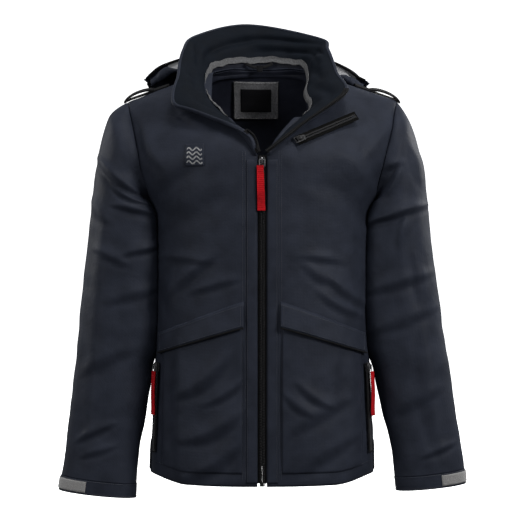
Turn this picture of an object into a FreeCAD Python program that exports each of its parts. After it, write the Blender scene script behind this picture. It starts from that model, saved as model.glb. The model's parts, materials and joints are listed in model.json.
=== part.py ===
import FreeCAD, Part
import math
import os

from FreeCAD import Placement, Rotation, Vector

# Foul weather jacket, as worn. Millimetres. +Z up, the front faces -Y and the wearer's left is +X.
# The origin is the middle of the neck opening, where the neck of a wearer or a dress form passes up.

doc = FreeCAD.newDocument("foul_weather_jacket")
sheet = doc.addObject("Spreadsheet::Sheet", "sizes")

# Driving dimensions: alias, value, meaning.
SIZES = [
    ("wall", 2.4, "shell fabric with its seam allowances"),
    ("seam", 0.4, "half of the gap between neighbouring panels"),
    ("lining_gap", 1.2, "shell to lining"),
    ("lining_deep", 1.2, "lining"),
    ("neck_half", 86, "neck opening, half width"),
    ("neck_mid", 4, "where the neck opening is widest"),
    ("neck_nape", 73, "nape, behind the origin"),
    ("neck_front", -88, "foremost point of the neck seam"),
    ("nape_high", 24, "height of the nape"),
    ("neck_drop", 95, "neck seam, nape to front end"),
    ("collar_high", 102, "top edge of the collar at the nape"),
    ("collar_drop", 152, "collar edge, nape to front corner"),
    ("collar_half", 148, "collar edge, half width"),
    ("opening_foot", -150, "height where the fronts part"),
    ("opening_top", -78, "front edge meets the neck seam"),
    ("zip_half", 9.5, "front edge to centre front"),
    ("armhole_top_x", 240, "shoulder point, from the centre"),
    ("armhole_top_z", -42, "shoulder point, height"),
    ("armhole_foot_x", 192, "armpit, from the centre"),
    ("armhole_foot_z", -236, "armpit, height"),
    ("yoke_high", -130, "back yoke seam"),
    ("hem_deep", 12, "hem fold below the lining"),
    ("chain_y", -138, "middle plane of the front zip"),
    ("chain_foot", -704, "foot of the front zip"),
    ("tooth_gap", 0.8, "centre line to the teeth"),
    ("tooth_wide", 2.6, "one row of teeth"),
    ("tooth_deep", 2.6, "teeth, front to back"),
    ("tape_wide", 5.6, "one zip tape"),
    ("tape_deep", 0.8, "zip tape"),
    ("slider_long", 15, "slider length"),
    ("slider_wide", 10.6, "slider width at its shoulders"),
    ("slider_foot", 8.4, "slider width at its foot"),
    ("plate_deep", 1.5, "slider plate"),
    ("plate_gap", 3.5, "gap between the slider's plates"),
    ("post_wide", 1.0, "dividing post of the slider"),
    ("bridge_high", 3.6, "bridge that holds the pull"),
    ("ring_wire", 1.6, "wire of the pull's ring"),
    ("ring_long", 13, "pull ring, outside length"),
    ("ring_wide", 11, "pull ring, outside width"),
    ("webbing_wide", 15, "webbing pull"),
    ("webbing_long", 74, "webbing pull"),
    ("webbing_deep", 3.2, "webbing pull, doubled"),
    ("side_zip_long", 152, "side zip"),
    ("loop_wide", 20, "shoulder loop webbing"),
    ("loop_deep", 1.6, "shoulder loop webbing"),
    ("loop_gap", 12, "space under a shoulder loop"),
    ("hanger_bow", 8, "space behind the hanger loop"),
    ("facing_wide", 16, "front facing, centre front edge to the lining"),
    ("collar_front", -84, "foremost point of the collar's edge"),
    ("collar_deep", 176, "collar's edge, front to back"),
    ("flap_high", -391, "upper edge of the pocket flap beside the zip"),
    ("flap_bend", 38, "where the flap's upper edge starts to slant"),
    ("flap_run", 146, "the slant, from its start to the flap's side"),
    ("flap_drop", 62, "how far the slant falls"),
    ("flap_deep", 44, "flap, top to bottom"),
    ("flap_in", 35, "flap's end beside the zip, from the centre"),
    ("flap_out", 178, "flap's outer end, from the centre"),
    ("pocket_in", 27, "pocket's edge beside the zip, from the centre"),
    ("pocket_out", 170, "pocket's outer edge, from the centre"),
    ("pocket_tuck", 9, "pocket's top below the flap's top"),
    ("pocket_foot", -692, "pocket's lower edge at the centre"),
    ("pocket_round", 16, "how far the lower edge curves up at the side"),
    ("placket_in", 11, "placket's inner edge, from the centre"),
    ("placket_out", 24.5, "placket's outer edge, from the centre"),
    ("placket_top", -166, "placket, top"),
    ("placket_foot", -706, "placket and side vent, foot"),
    ("vent_top", -660, "side vent, top"),
    ("vent_foot", -704, "side vent, foot"),
    ("emblem_in", 98, "chest emblem's edge nearest the zip"),
    ("emblem_out", 128, "chest emblem's outer edge"),
    ("emblem_top", -131, "chest emblem, top"),
    ("emblem_foot", -169, "chest emblem, foot"),
    ("label_half", 36, "neck label, half width"),
    ("label_top", -2, "neck label, top"),
    ("label_foot", -68, "neck label, foot"),
    ("mark_half", 9, "size label, half width"),
    ("mark_top", -4, "size label, top"),
    ("mark_foot", -22, "size label, foot"),
    ("hood_low", 26, "lowered hood, upper edge to lower edge at the shoulder"),
    ("hood_hang", 122, "how much further it hangs at the middle of the back"),
    ("hood_near", 9, "hood's underside off the body"),
    ("hood_base", 14, "hood's upper face off the body, at least"),
    ("hood_puff", 15, "how much further its fullest part stands off"),
    ("loop_first", 172, "shoulder loop's end nearest the neck"),
    ("loop_last", 236, "shoulder loop's end at the sleeve"),
    ("box_wide", 7.6, "zip's bottom box"),
    ("box_deep", 4.8, "zip's bottom box"),
    ("box_high", 7, "zip's bottom box and pin"),
    ("pin_wide", 2, "zip's bottom pin"),
    ("side_zip_top", -506, "upper end of a side zip"),
]

# How far the lower and upper faces of each flat piece lie off the surface under it.
LAYERS = {
    "pocket_panel": (1.8, 3.4),
    "pocket_flap": (6.6, 8.8),
    "placket": (0.8, 2.2),
    "side_vent": (1.0, 2.2),
    "chest_emblem": (1.0, 1.8),
    "collar_outer": (0.4, 2.4),
    "collar_facing": (3.2, 4.6),
    "neck_tape": (6.0, 7.0),
    "hanger_loop": (8.2, 9.4),
    "neck_label": (0.8, 1.8),
    "size_label": (3.8, 4.4),
    "hood_lining": (1.0, 2.2),
    "hook_patch": (0.6, 1.6),
    "cuff_tab": (2.8, 4.8),
}

# Turns round the body, in degrees, of the side vent's columns, the hood's ends and the side zip.
VENT_TURNS = (80, 86, 94, 100)
HOOD_TURNS = (105, 255)
SIDE_ZIP_TURN = 68
SIDE_ZIP_LIFT = 5.0
# Half of the side seam's gap, and the steps in which a panel's edge looks for the neck opening.
SEAM_TURN = 0.15
FRONT_STEP = 0.25
BACK_STEP = 0.5
# The chest zip's lower and upper ends and the way that it faces.
CHEST_ZIP_LOW = Vector(59, -137, -126)
CHEST_ZIP_HIGH = Vector(160, -87, -80)
CHEST_ZIP_FACES = Vector(0.3, -0.85, 0.4)

# The body's level outlines: height, half width, front, back, widest place, roundness
# (2 is an ellipse and more is squarer).
BODY = [
    ("hem", -712, 199, -142, 140, 0, 2.35),
    ("hip", -540, 192, -142, 128, 0, 2.4),
    ("waist", -400, 186, -142, 123, 0, 2.4),
    ("ribs", -275, 188, -142, 135, 0, 2.35),
    ("armpit", -236, 194, -142, 139, 0, 2.3),
    ("chest", -190, 222, -142, 140, 2, 2.2),
    ("bust", -150, 244, -141, 137, 5, 2.1),
    ("upper", -112, 252, -125, 130, 7, 2.0),
    ("throat", -80, 254, -101, 123, 8, 1.9),
    ("cap", -62, 251, -86, 118, 8, 1.85),
    ("shoulder", -47, 242, -73, 113, 9, 1.8),
    ("ridge", -35, 212, -62, 109, 10, 1.75),
    ("slope", -22, 176, -50, 103, 13, 1.75),
    ("rise", -6, 134, -34, 95, 18, 1.8),
    ("root", 10, 92, -14, 85, 28, 1.9),
    ("nape", 24, 52, 22, 74, 46, 2.0),
]
BODY_FIELDS = ("height", "half", "front", "back", "middle", "round")

# The left sleeve's rings: middle x, y, z, the arm's dip below level in degrees,
# half width across the arm, half depth front to back.
SLEEVE = [
    ("head", 217.5, 3, -140, 13.9, 97.5, 74),
    ("crown", 230.5, 2, -154, 22, 84, 75),
    ("bend", 240.5, 1, -192.5, 40, 69, 74),
    ("biceps", 243.8, -1, -233.5, 61, 58.6, 73),
    ("uparm", 247.6, -4, -285, 80, 56.6, 70),
    ("elbow", 256.4, -10, -400, 85, 65, 61),
    ("forearm", 267.5, -18, -529, 81, 66.8, 52),
    ("lowarm", 287, -30, -657, 82, 63, 43),
    ("wrist", 295, -38, -738, 84, 64, 36),
]
SLEEVE_FIELDS = ("x", "y", "height", "dip", "half", "depth")


def fill_sheet():
    """Writes every driving dimension to a cell of its own and names the cell."""
    rows = list(SIZES)
    for name, *values in BODY:
        rows += [(f"{name}_{f}", v, "body outline") for f, v in zip(BODY_FIELDS, values)]
    for name, *values in SLEEVE:
        rows += [(f"{name}_arm_{f}", v, "sleeve ring") for f, v in zip(SLEEVE_FIELDS, values)]
    for i, (alias, value, note) in enumerate(rows, start=1):
        sheet.set(f"A{i}", note)
        sheet.set(f"B{i}", str(value))
        sheet.setAlias(f"B{i}", alias)
    doc.recompute()


def size(alias):
    return float(sheet.get(alias))


# ---------------------------------------------------------------- document objects

kept = []


def keep(obj, label):
    """Marks an object as one of the jacket's separate pieces."""
    obj.Label = label
    kept.append(obj)
    return obj


def feature(name, shape):
    obj = doc.addObject("Part::Feature", name)
    obj.Shape = shape
    return obj


def pair(label, left):
    """Keeps a left-hand piece and its mirror image on the right."""
    keep(left, f"left_{label}")
    right = doc.addObject("Part::Mirroring", f"right_{label}_mirror")
    right.Source = left
    right.Normal = Vector(1, 0, 0)
    keep(right, f"right_{label}")


def box(name, corner, sides):
    """A block. Each of the six values is an expression or a number."""
    obj = doc.addObject("Part::Box", name)
    for prop, value in zip(("Length", "Width", "Height"), sides):
        obj.setExpression(prop, str(value))
    for prop, value in zip("xyz", corner):
        obj.setExpression(f"Placement.Base.{prop}", str(value))
    return obj


# ---------------------------------------------------------------- cloth as thin solids


def spread(first, last, count):
    return [first + (last - first) * k / (count - 1) for k in range(count)]


def solid_from_grids(outer, inner, closed):
    """A closed solid between two grids of points. closed joins the last column to the first."""
    rows, columns = len(outer), len(outer[0])
    faces = []

    def patch(a, b, c, d):
        for corners in ((a, b, c), (a, c, d)):
            faces.append(Part.Face(Part.makePolygon([*corners, corners[0]])))

    steps = columns if closed else columns - 1
    for i in range(rows - 1):
        for k in range(steps):
            n = (k + 1) % columns
            patch(outer[i][k], outer[i][n], outer[i + 1][n], outer[i + 1][k])
            patch(inner[i][k], inner[i + 1][k], inner[i + 1][n], inner[i][n])
    for k in range(steps):
        n = (k + 1) % columns
        patch(inner[0][k], inner[0][n], outer[0][n], outer[0][k])
        patch(outer[-1][k], outer[-1][n], inner[-1][n], inner[-1][k])
    if not closed:
        for i in range(rows - 1):
            patch(outer[i][0], outer[i + 1][0], inner[i + 1][0], inner[i][0])
            patch(inner[i][-1], inner[i + 1][-1], outer[i + 1][-1], outer[i][-1])
    solid = Part.Solid(Part.makeShell(faces))
    if solid.Volume < 0:
        solid.reverse()
    return solid


def lifted(surface, u, v, lift):
    """The point of a surface at (u, v), moved out along its normal by lift."""
    step = 1e-3
    along = surface(u + step, v) - surface(u - step, v)
    up = surface(u, v + step) - surface(u, v - step)
    return surface(u, v) + along.cross(up).normalize() * lift


def cloth(name, surface, rows, low, high, closed=False):
    """A piece of cloth. rows holds one list of (u, v) per row. low and high are its two faces,
    measured from the surface, and may be functions of (row share, column share)."""
    grids = []
    for lift in (high, low):
        grid = []
        for i, row in enumerate(rows):
            shares = [(i / (len(rows) - 1), k / max(1, len(row) - 1)) for k in range(len(row))]
            lifts = [lift(*share) if callable(lift) else lift for share in shares]
            grid.append([lifted(surface, u, v, d) for (u, v), d in zip(row, lifts)])
        grids.append(grid)
    return feature(name, solid_from_grids(*grids, closed))


# ---------------------------------------------------------------- the body's surface


def outline_at(z):
    """Half width, front, back, widest place and roundness of the body at a height."""
    heights = [size(f"{row[0]}_height") for row in BODY]
    k = max(1, min(len(BODY) - 1, sum(h < z for h in heights)))
    share = (z - heights[k - 1]) / (heights[k] - heights[k - 1])
    low, high = ([size(f"{BODY[j][0]}_{f}") for f in BODY_FIELDS[1:]] for j in (k - 1, k))
    return [a + (b - a) * share for a, b in zip(low, high)]


def body_point(turn, z):
    """A point of the body. turn is 0 at centre front, 90 at the wearer's left side, 180 behind."""
    half, front, back, middle, power = outline_at(z)
    across = math.sin(math.radians(turn))
    along = -math.cos(math.radians(turn))
    x = math.copysign(half * abs(across) ** (2 / power), across)
    reach = back - middle if along > 0 else middle - front
    return Vector(x, middle + math.copysign(reach * abs(along) ** (2 / power), along), z)


def turn_of(x, z):
    """The turn, from 0 to 90, at which the body is x away from the centre."""
    half, _, _, _, power = outline_at(z)
    return math.degrees(math.asin(min(1.0, x / half) ** (power / 2)))


def armhole_x(z):
    """How far the armhole plane is from the centre at a height."""
    rise = (size("armhole_top_x") - size("armhole_foot_x")) / (size("armhole_top_z") - size("armhole_foot_z"))
    return size("armhole_foot_x") + (z - size("armhole_foot_z")) * rise


def outside_neck(point):
    """True where a point is outside the neck opening in plan."""
    if point.y <= size("neck_mid"):
        return abs(point.x) >= size("neck_half")
    depth = size("neck_nape") - size("neck_mid")
    return (point.x / size("neck_half")) ** 2 + ((point.y - size("neck_mid")) / depth) ** 2 >= 1


def front_edge(z, edge):
    """Half the gap between the fronts at a height. edge is that gap below the opening."""
    foot, top = size("opening_foot"), size("opening_top")
    share = min(1.0, max(0.0, (z - foot) / (top - foot)))
    top_edge = size("neck_half") + 2 + (edge - size("zip_half")) / 2
    return edge + (top_edge - edge) * share


def front_limits(z, edge):
    """First and last turn of a front panel at a height."""
    first = turn_of(front_edge(z, edge), z)
    last = 90 - SEAM_TURN
    if z > size("opening_top"):
        while first < last and not outside_neck(body_point(first, z)):
            first += FRONT_STEP
    if size("armhole_foot_z") <= z < size("armhole_top_z"):
        last = min(last, turn_of(armhole_x(z), z))
    return first, last


def back_limit(z):
    """First turn of the back at a height, on the wearer's left."""
    first = 90 + SEAM_TURN
    if size("armhole_foot_z") <= z < size("armhole_top_z"):
        first = max(first, 180 - turn_of(armhole_x(z), z))
    while not outside_neck(body_point(first, z)):
        first += BACK_STEP
    return first


HEIGHTS = [row[1] for row in BODY]
BELOW_YOKE = 7
BELOW_NECK = 14
FRONT_HEIGHTS = [*HEIGHTS[:BELOW_NECK], 8]
LOWER_BACK = HEIGHTS[:BELOW_YOKE]
UPPER_BACK = [*HEIGHTS[BELOW_YOKE:BELOW_NECK], 8, 16, 21]


def front_rows(heights, edge):
    return [[(turn, z) for turn in spread(*front_limits(z, edge), 9)] for z in heights]


def back_rows(heights):
    return [[(turn, z) for turn in spread(back_limit(z), 360 - back_limit(z), 15)] for z in heights]


def build_body():
    wall, seam = size("wall"), size("seam")
    pair("front_panel", cloth("front", body_point, front_rows(FRONT_HEIGHTS, size("zip_half")), -wall, 0))
    yoke = size("yoke_high")
    keep(cloth("back_lower", body_point, back_rows([*LOWER_BACK, yoke - seam]), -wall, 0), "back_panel")
    keep(cloth("back_upper", body_point, back_rows([yoke + seam, *UPPER_BACK]), -wall, 0), "back_yoke")


def build_lining():
    top = -size("wall") - size("lining_gap")
    low = top - size("lining_deep")
    facing_edge = size("zip_half") + size("facing_wide")
    hem_top = size("hem_height") + size("hem_deep")
    rows = front_rows([hem_top, *FRONT_HEIGHTS[1:-1]], facing_edge)
    pair("front_lining", cloth("front_lining_cloth", body_point, rows, low, top))
    rows = back_rows([hem_top, *LOWER_BACK[1:], *UPPER_BACK[:-1]])
    keep(cloth("back_lining_cloth", body_point, rows, low, top), "back_lining")


# ---------------------------------------------------------------- pieces that lie on the body


def face_rows(side, edges, top_line, foot_line, columns, rows):
    """Rows of (turn, z) over a front-view patch between two edges and two lines z(x)."""
    grid = []
    for share in spread(0, 1, rows):
        row = []
        for x in spread(*edges, columns):
            z = foot_line(x) + (top_line(x) - foot_line(x)) * share
            row.append((side * turn_of(x, z), z))
        grid.append(row if side > 0 else row[::-1])
    return grid


def flap_line(x):
    """The upper edge of the pocket flap: level near the zip, then slanting down to the side."""
    share = max(0.0, (x - size("flap_bend")) / size("flap_run"))
    return size("flap_high") - size("flap_drop") * share**1.05


def pocket_foot(x):
    """The lower edge of the pocket panel, rounded up at the side."""
    return size("pocket_foot") + size("pocket_round") * (x / size("pocket_out")) ** 4


def edges(name):
    return size(f"{name}_in"), size(f"{name}_out")


def build_patches():
    rows = face_rows(1, edges("pocket"), lambda x: flap_line(x) - size("pocket_tuck"), pocket_foot, 7, 4)
    pair("pocket_panel", cloth("pocket_cloth", body_point, rows, *LAYERS["pocket_panel"]))
    rows = face_rows(1, edges("flap"), flap_line, lambda x: flap_line(x) - size("flap_deep"), 10, 3)
    pair("pocket_flap", cloth("flap_cloth", body_point, rows, *LAYERS["pocket_flap"]))
    rows = face_rows(1, edges("placket"), lambda x: size("placket_top"), lambda x: size("placket_foot"), 2, 6)
    pair("placket", cloth("placket_cloth", body_point, rows, *LAYERS["placket"]))
    vent = [[(turn, z) for turn in VENT_TURNS] for z in (size("vent_foot"), size("vent_top"))]
    pair("side_vent", cloth("vent_cloth", body_point, vent, *LAYERS["side_vent"]))
    rows = face_rows(-1, edges("emblem"), lambda x: size("emblem_top"), lambda x: size("emblem_foot"), 3, 3)
    keep(cloth("emblem_cloth", body_point, rows, *LAYERS["chest_emblem"]), "chest_emblem")


# ---------------------------------------------------------------- collar, neck and hood


def neck_point(turn):
    """The neck seam. turn runs from -1, its right front end, through 0, the nape, to 1."""
    share = abs(turn) / 0.6
    if share <= 1:
        x = size("neck_half") * math.sin(share * math.pi / 2)
        y = size("neck_mid") + (size("neck_nape") - size("neck_mid")) * math.cos(share * math.pi / 2)
    else:
        x = size("neck_half")
        y = size("neck_mid") + (size("neck_front") - size("neck_mid")) * (share - 1) * 1.5
    fall = (size("neck_nape") - y) / (size("neck_nape") - size("neck_front"))
    return Vector(math.copysign(x, turn), y, size("nape_high") - size("neck_drop") * fall**2.5)


def edge_point(turn):
    """The collar's top edge, splayed wide, above neck_point(turn)."""
    share = min(1.0, abs(turn) / 0.75)
    x = size("collar_half") * math.sin(share * math.pi / 2) ** 0.9
    behind = math.cos(min(1.0, abs(turn)) * math.pi / 2) ** 1.1
    y = size("collar_front") + size("collar_deep") * behind
    return Vector(math.copysign(x, turn), y, size("collar_high") - size("collar_drop") * abs(turn) ** 1.9)


def collar_point(turn, rise):
    """The collar's surface: rise is 0 at the neck seam and 1 at the top edge."""
    turn = max(-1.0, min(1.0, turn))
    return neck_point(turn) * (1 - rise) + edge_point(turn) * rise


def collar_rows(turns, rises):
    return [[(turn, rise) for turn in turns] for rise in rises]


def bowed(lift, bow):
    """A lift that grows by bow from the ends of a strip to its middle."""
    return lambda row, share: lift + bow * math.sin(math.pi * share)


def build_collar():
    whole = spread(-0.99, 0.99, 17)
    inside = spread(-0.93, 0.93, 15)
    for name, turns, rises, label in (
        ("collar_shell", whole, (0.0, 0.5, 1), "collar_outer"),
        ("collar_inside", whole, (-0.04, 0.5, 0.98), "collar_facing"),
        ("tape", inside, (-0.14, 0.06), "neck_tape"),
    ):
        keep(cloth(name, collar_point, collar_rows(turns, rises), *LAYERS[label]), label)
    near, far = (bowed(lift, size("hanger_bow")) for lift in LAYERS["hanger_loop"])
    strip = collar_rows(spread(-0.24, 0.24, 7), (-0.1, 0.0))
    keep(cloth("hanger", collar_point, strip, near, far), "hanger_loop")


def build_labels():
    """The neck label and the size label, sewn inside the back lining."""
    lining_face = size("wall") + size("lining_gap") + size("lining_deep")
    for name, prefix, columns, rows in (("neck_label", "label", 3, 3), ("size_label", "mark", 2, 2)):
        half, foot, top = (size(f"{prefix}_{part}") for part in ("half", "foot", "top"))
        heights = spread(foot, top, rows)
        grid = [[(180 + k * turn_of(half, z), z) for k in spread(-1, 1, columns)] for z in heights]
        near, far = LAYERS[name]
        keep(cloth(f"{name}_cloth", body_point, grid, -lining_face - far, -lining_face - near), name)


def hood_rows(shares):
    """Rows over the shoulders and the upper back, from the free edge up to the collar."""
    rows = []
    first, last = HOOD_TURNS
    for share in sorted(shares, reverse=True):
        row = []
        for turn in spread(first, last, 15):
            behind = math.sin(math.radians((turn - first) * 180 / (last - first))) ** 1.5
            row.append((turn, -4 - (size("hood_low") + size("hood_hang") * behind) * share))
        rows.append(row)
    return rows


def hood_thick(row, _column):
    """How far the hood's upper face stands off the body, thickest below the middle."""
    return size("hood_base") + size("hood_puff") * math.sin(math.pi * (0.15 + 0.75 * row))


def build_hood():
    shares = spread(0, 1, 8)
    near = size("hood_near")
    keep(cloth("hood_cloth", body_point, hood_rows(shares), near, hood_thick), "hood_shell")
    low, high = LAYERS["hood_lining"]
    keep(cloth("hood_lining_cloth", body_point, hood_rows(shares),
               lambda row, column: hood_thick(row, column) + low,
               lambda row, column: hood_thick(row, column) + high), "hood_lining")
    keep(cloth("hood_trim_cloth", body_point, hood_rows((1.03, 1.1)), near, 15), "hood_trim")


def ridge_point(x):
    """The crest of the shoulder at a distance from the centre."""
    low, high = -60.0, 10.0
    for _ in range(30):
        z = (low + high) / 2
        if outline_at(z)[0] > x:
            low = z
        else:
            high = z
    return Vector(x, outline_at(z)[3], z)


def build_shoulder_loops():
    """A webbing loop that bridges each shoulder seam between the hood and the sleeve head."""
    first, last, half = size("loop_first"), size("loop_last"), size("loop_wide") / 2

    def strap(u, v):
        p = ridge_point(first + (last - first) * u)
        return Vector(p.x, p.y + v, p.z + size("loop_gap") * math.sin(math.pi * u) ** 0.7)

    rows = [[(u, v) for u in spread(0.02, 0.98, 9)] for v in (-half, half)]
    pair("shoulder_loop", cloth("loop_cloth", strap, rows, 1.5, 1.5 + size("loop_deep")))


# ---------------------------------------------------------------- sleeves


def ring_at(place):
    """Middle, arm direction, half width and half depth of the left sleeve at a place along it,
    counted in rings."""
    place = max(0.0, min(len(SLEEVE) - 1.0, place))
    k = min(len(SLEEVE) - 2, int(place))
    share = place - k
    low, high = ([size(f"{SLEEVE[j][0]}_arm_{f}") for f in SLEEVE_FIELDS] for j in (k, k + 1))
    x, y, z, dip, half, depth = (a + (b - a) * share for a, b in zip(low, high))
    dip = math.radians(dip)
    return Vector(x, y, z), Vector(math.cos(dip), 0, -math.sin(dip)), half, depth


def sleeve_point(turn, place):
    """A point of the left sleeve: turn 0 is its top or outer side, 90 its front."""
    middle, along, half, depth = ring_at(place)
    across = Vector(-along.z, 0, along.x) * (half * math.cos(math.radians(turn)))
    p = middle + across + along * max(0.0, 2.0 - 4 * place)
    return Vector(p.x, p.y - depth * math.sin(math.radians(turn)), p.z)


def sleeve_rows(places, count=16):
    return [[(360 * k / count, place) for k in range(count)] for place in places]


# Places along the sleeve, counted in rings: the cuff's seam and its foot, and the hook patch and
# the tab on it, with the turns that they span.
CUFF_TOP = 7.62
CUFF_FOOT = 7.98
HOOK_PLACES = (7.7, 7.9)
HOOK_TURNS = (20, 40, 60)
TAB_PLACES = (7.66, 7.94)
TAB_TURNS = (-12, 5, 20, 35, 50, 65, 76)


def build_sleeves():
    wall = size("wall")
    inside = wall + size("lining_gap")
    tube = sleeve_rows([0.02, *range(1, len(SLEEVE) - 1), CUFF_TOP - 0.01])
    pair("sleeve", cloth("sleeve_cloth", sleeve_point, tube, -wall, 0, closed=True))
    inner = sleeve_rows([0.25, *range(1, len(SLEEVE) - 1), CUFF_TOP - 0.05])
    deep = inside + size("lining_deep")
    pair("sleeve_lining", cloth("sleeve_lining_cloth", sleeve_point, inner, -deep, -inside, closed=True))
    pair("cuff", cloth("cuff_cloth", sleeve_point, sleeve_rows([CUFF_TOP, CUFF_FOOT]), -wall, 0, closed=True))
    hook = [[(turn, place) for turn in HOOK_TURNS] for place in HOOK_PLACES]
    pair("hook_patch", cloth("hook_cloth", sleeve_point, hook, *LAYERS["hook_patch"]))
    tab = [[(turn, place) for turn in TAB_TURNS] for place in TAB_PLACES]
    pair("cuff_tab", cloth("tab_cloth", sleeve_point, tab, *LAYERS["cuff_tab"]))


# ---------------------------------------------------------------- zips


# The open front edge: how far out from the middle and back from the zip, the share of the
# opening's height and the rise beyond it, and the direction that the tape's width takes there.
OPEN_EDGE = [
    (0, 0, 0, 0, (1, 0, 0)),
    (6, -4, 0, 8, (0.9, 0, -0.4)),
    (40, 7, 0, 38, (0.6, 0.05, -0.6)),
    (72, 25, 1, -6, (0.45, 0.15, -0.7)),
    (142, 44, 1, 12, (0.2, 0.1, -0.9)),
]


def front_zip_point(across, step):
    """The left half of the front zip, straight up to the slider and then along the open front
    edge. step counts the points of its path and across is the distance from its inner edge."""
    near, y = size("tooth_gap"), size("chain_y")
    path = [(Vector(near, y, size("chain_foot")), Vector(1, 0, 0))]
    foot, top = size("opening_foot"), size("opening_top")
    for out, back, share, rise, way in OPEN_EDGE:
        path.append((Vector(near + out, y + back, foot + (top - foot) * share + rise), Vector(*way)))
    k = min(len(path) - 2, max(0, int(step)))
    (start, start_way), (end, end_way) = path[k], path[k + 1]
    share = step - k
    way = (start_way * (1 - share) + end_way * share).normalize()
    return start * (1 - share) + end * share + way * across


def build_main_zip():
    """The open-ended front zip: tapes, teeth, box, pin, slider, ring and webbing."""
    tooth, tape = size("tooth_wide"), size("tape_wide")
    for piece, start, stop, deep in (
        ("tape", tooth + 0.3, tooth + tape, size("tape_deep") / 2),
        ("teeth", 0, tooth, size("tooth_deep") / 2),
    ):
        rows = [[(start, step), (stop, step)] for step in range(6)]
        pair(f"zip_{piece}", cloth(f"zip_{piece}_strip", front_zip_point, rows, -deep, deep))
    low = "sizes.chain_foot - sizes.box_high - 0.4"
    corner = (-4.2, "sizes.chain_y - sizes.box_deep / 2", low)
    keep(box("bottom_box", corner, ("sizes.box_wide", "sizes.box_deep", "sizes.box_high")), "zip_bottom_box")
    corner = (3.8, "sizes.chain_y - sizes.pin_wide / 2", low)
    keep(box("bottom_pin", corner, ("sizes.pin_wide", "sizes.pin_wide", "sizes.box_high")), "zip_bottom_pin")
    below = size("opening_foot") - size("slider_long") / 2 - 3
    place = Placement(Vector(0, size("chain_y"), below), Rotation())
    keep(slider("main", place), "main_zip_slider")
    keep(pull_ring("main", place), "main_zip_ring")
    keep(webbing("main", place), "main_zip_webbing")


def sketch_on(body, name, role, offset=0.0):
    """A sketch on one of the body's own origin planes, moved along its normal by offset."""
    plane = next(f for f in body.Origin.OriginFeatures if f.Role == role)
    sketch = body.newObject("Sketcher::SketchObject", name)
    sketch.AttachmentSupport = [(plane, "")]
    sketch.MapMode = "FlatFace"
    sketch.AttachmentOffset = Placement(Vector(0, 0, offset), Rotation())
    return sketch


def add_outline(sketch, points):
    """A closed straight outline."""
    for start, end in zip(points, [*points[1:], points[0]]):
        sketch.addGeometry(Part.LineSegment(Vector(*start, 0), Vector(*end, 0)), False)


def grow_both_ways(body, kind, name, sketch, length):
    """A pad or pocket centred on its sketch."""
    made = body.newObject(f"PartDesign::{kind}", name)
    made.Profile = sketch
    made.Midplane = True
    made.setExpression("Length", str(length))
    return made


def slider(prefix, place):
    """A zip slider: two plates, the post between them and the bridge that holds the pull.
    The chain runs along the local Z, the slider faces the local -Y and its middle is at 0."""
    body = doc.addObject("PartDesign::Body", f"{prefix}_slider")
    top, foot, half = size("slider_wide") / 2, size("slider_foot") / 2, size("slider_long") / 2
    reach, plate = size("plate_gap") / 2, size("plate_deep")
    outline = [(-foot, -half), (foot, -half), (top, half * 0.3), (top * 0.8, half),
               (-top * 0.8, half), (-top, half * 0.3)]
    post_half = size("post_wide") / 2
    post = sketch_on(body, f"{prefix}_post_outline", "XZ_Plane")
    add_outline(post, [(-post_half, half * 0.2), (post_half, half * 0.2), (post_half, half * 0.9),
                       (-post_half, half * 0.9)])
    grow_both_ways(body, "Pad", f"{prefix}_post", post, "sizes.plate_gap + sizes.plate_deep")
    for word, sign in (("front", 1), ("rear", -1)):
        sketch = sketch_on(body, f"{prefix}_{word}_outline", "XZ_Plane", sign * (reach + plate / 2))
        add_outline(sketch, outline)
        grow_both_ways(body, "Pad", f"{prefix}_{word}_plate", sketch, "sizes.plate_deep")
    face = -reach - plate
    high = size("bridge_high")
    bridge = sketch_on(body, f"{prefix}_bridge_outline", "YZ_Plane")
    add_outline(bridge, [(face + 0.3, -half * 0.5), (face + 0.3, half * 0.75),
                         (face - high + 1, half * 0.75), (face - high, half * 0.55),
                         (face - high, 0), (face - high * 0.6, -half * 0.5)])
    grow_both_ways(body, "Pad", f"{prefix}_bridge", bridge, "sizes.ring_wire + 0.6")
    doc.recompute()
    eye = sketch_on(body, f"{prefix}_eye_outline", "YZ_Plane")
    pivot = pull_pivot()
    radius = size("ring_wire") / 2 + 0.35
    eye.addGeometry(Part.Circle(Vector(pivot.y, pivot.z, 0), Vector(0, 0, 1), radius), False)
    grow_both_ways(body, "Pocket", f"{prefix}_eye", eye, "sizes.slider_wide")
    doc.recompute()
    body.Placement = place
    return body


def pull_pivot():
    """The pull's hinge in the slider's local frame."""
    face = -size("plate_gap") / 2 - size("plate_deep")
    return Vector(0, face - size("bridge_high") * 0.5, size("slider_long") / 2 * 0.32)


def pull_ring(prefix, place):
    """A wire ring with square corners. Its top bar lies in the slider's eye, and it hangs down."""
    wire = size("ring_wire") / 2
    half, long = size("ring_wide") / 2 - wire, size("ring_long") - 2 * wire
    square = ((-half, 0), (half, 0), (half, -long), (-half, -long))
    corners = [pull_pivot() + Vector(x, 0, z) for x, z in square]
    runs = []
    for start, end in zip(corners, [*corners[1:], corners[0]]):
        runs.append(Part.makeCylinder(wire, (end - start).Length, start, end - start))
        runs.append(Part.makeSphere(wire, start))
    obj = feature(f"{prefix}_ring", runs[0].multiFuse(runs[1:]).removeSplitter())
    obj.Placement = place
    return obj


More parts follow.
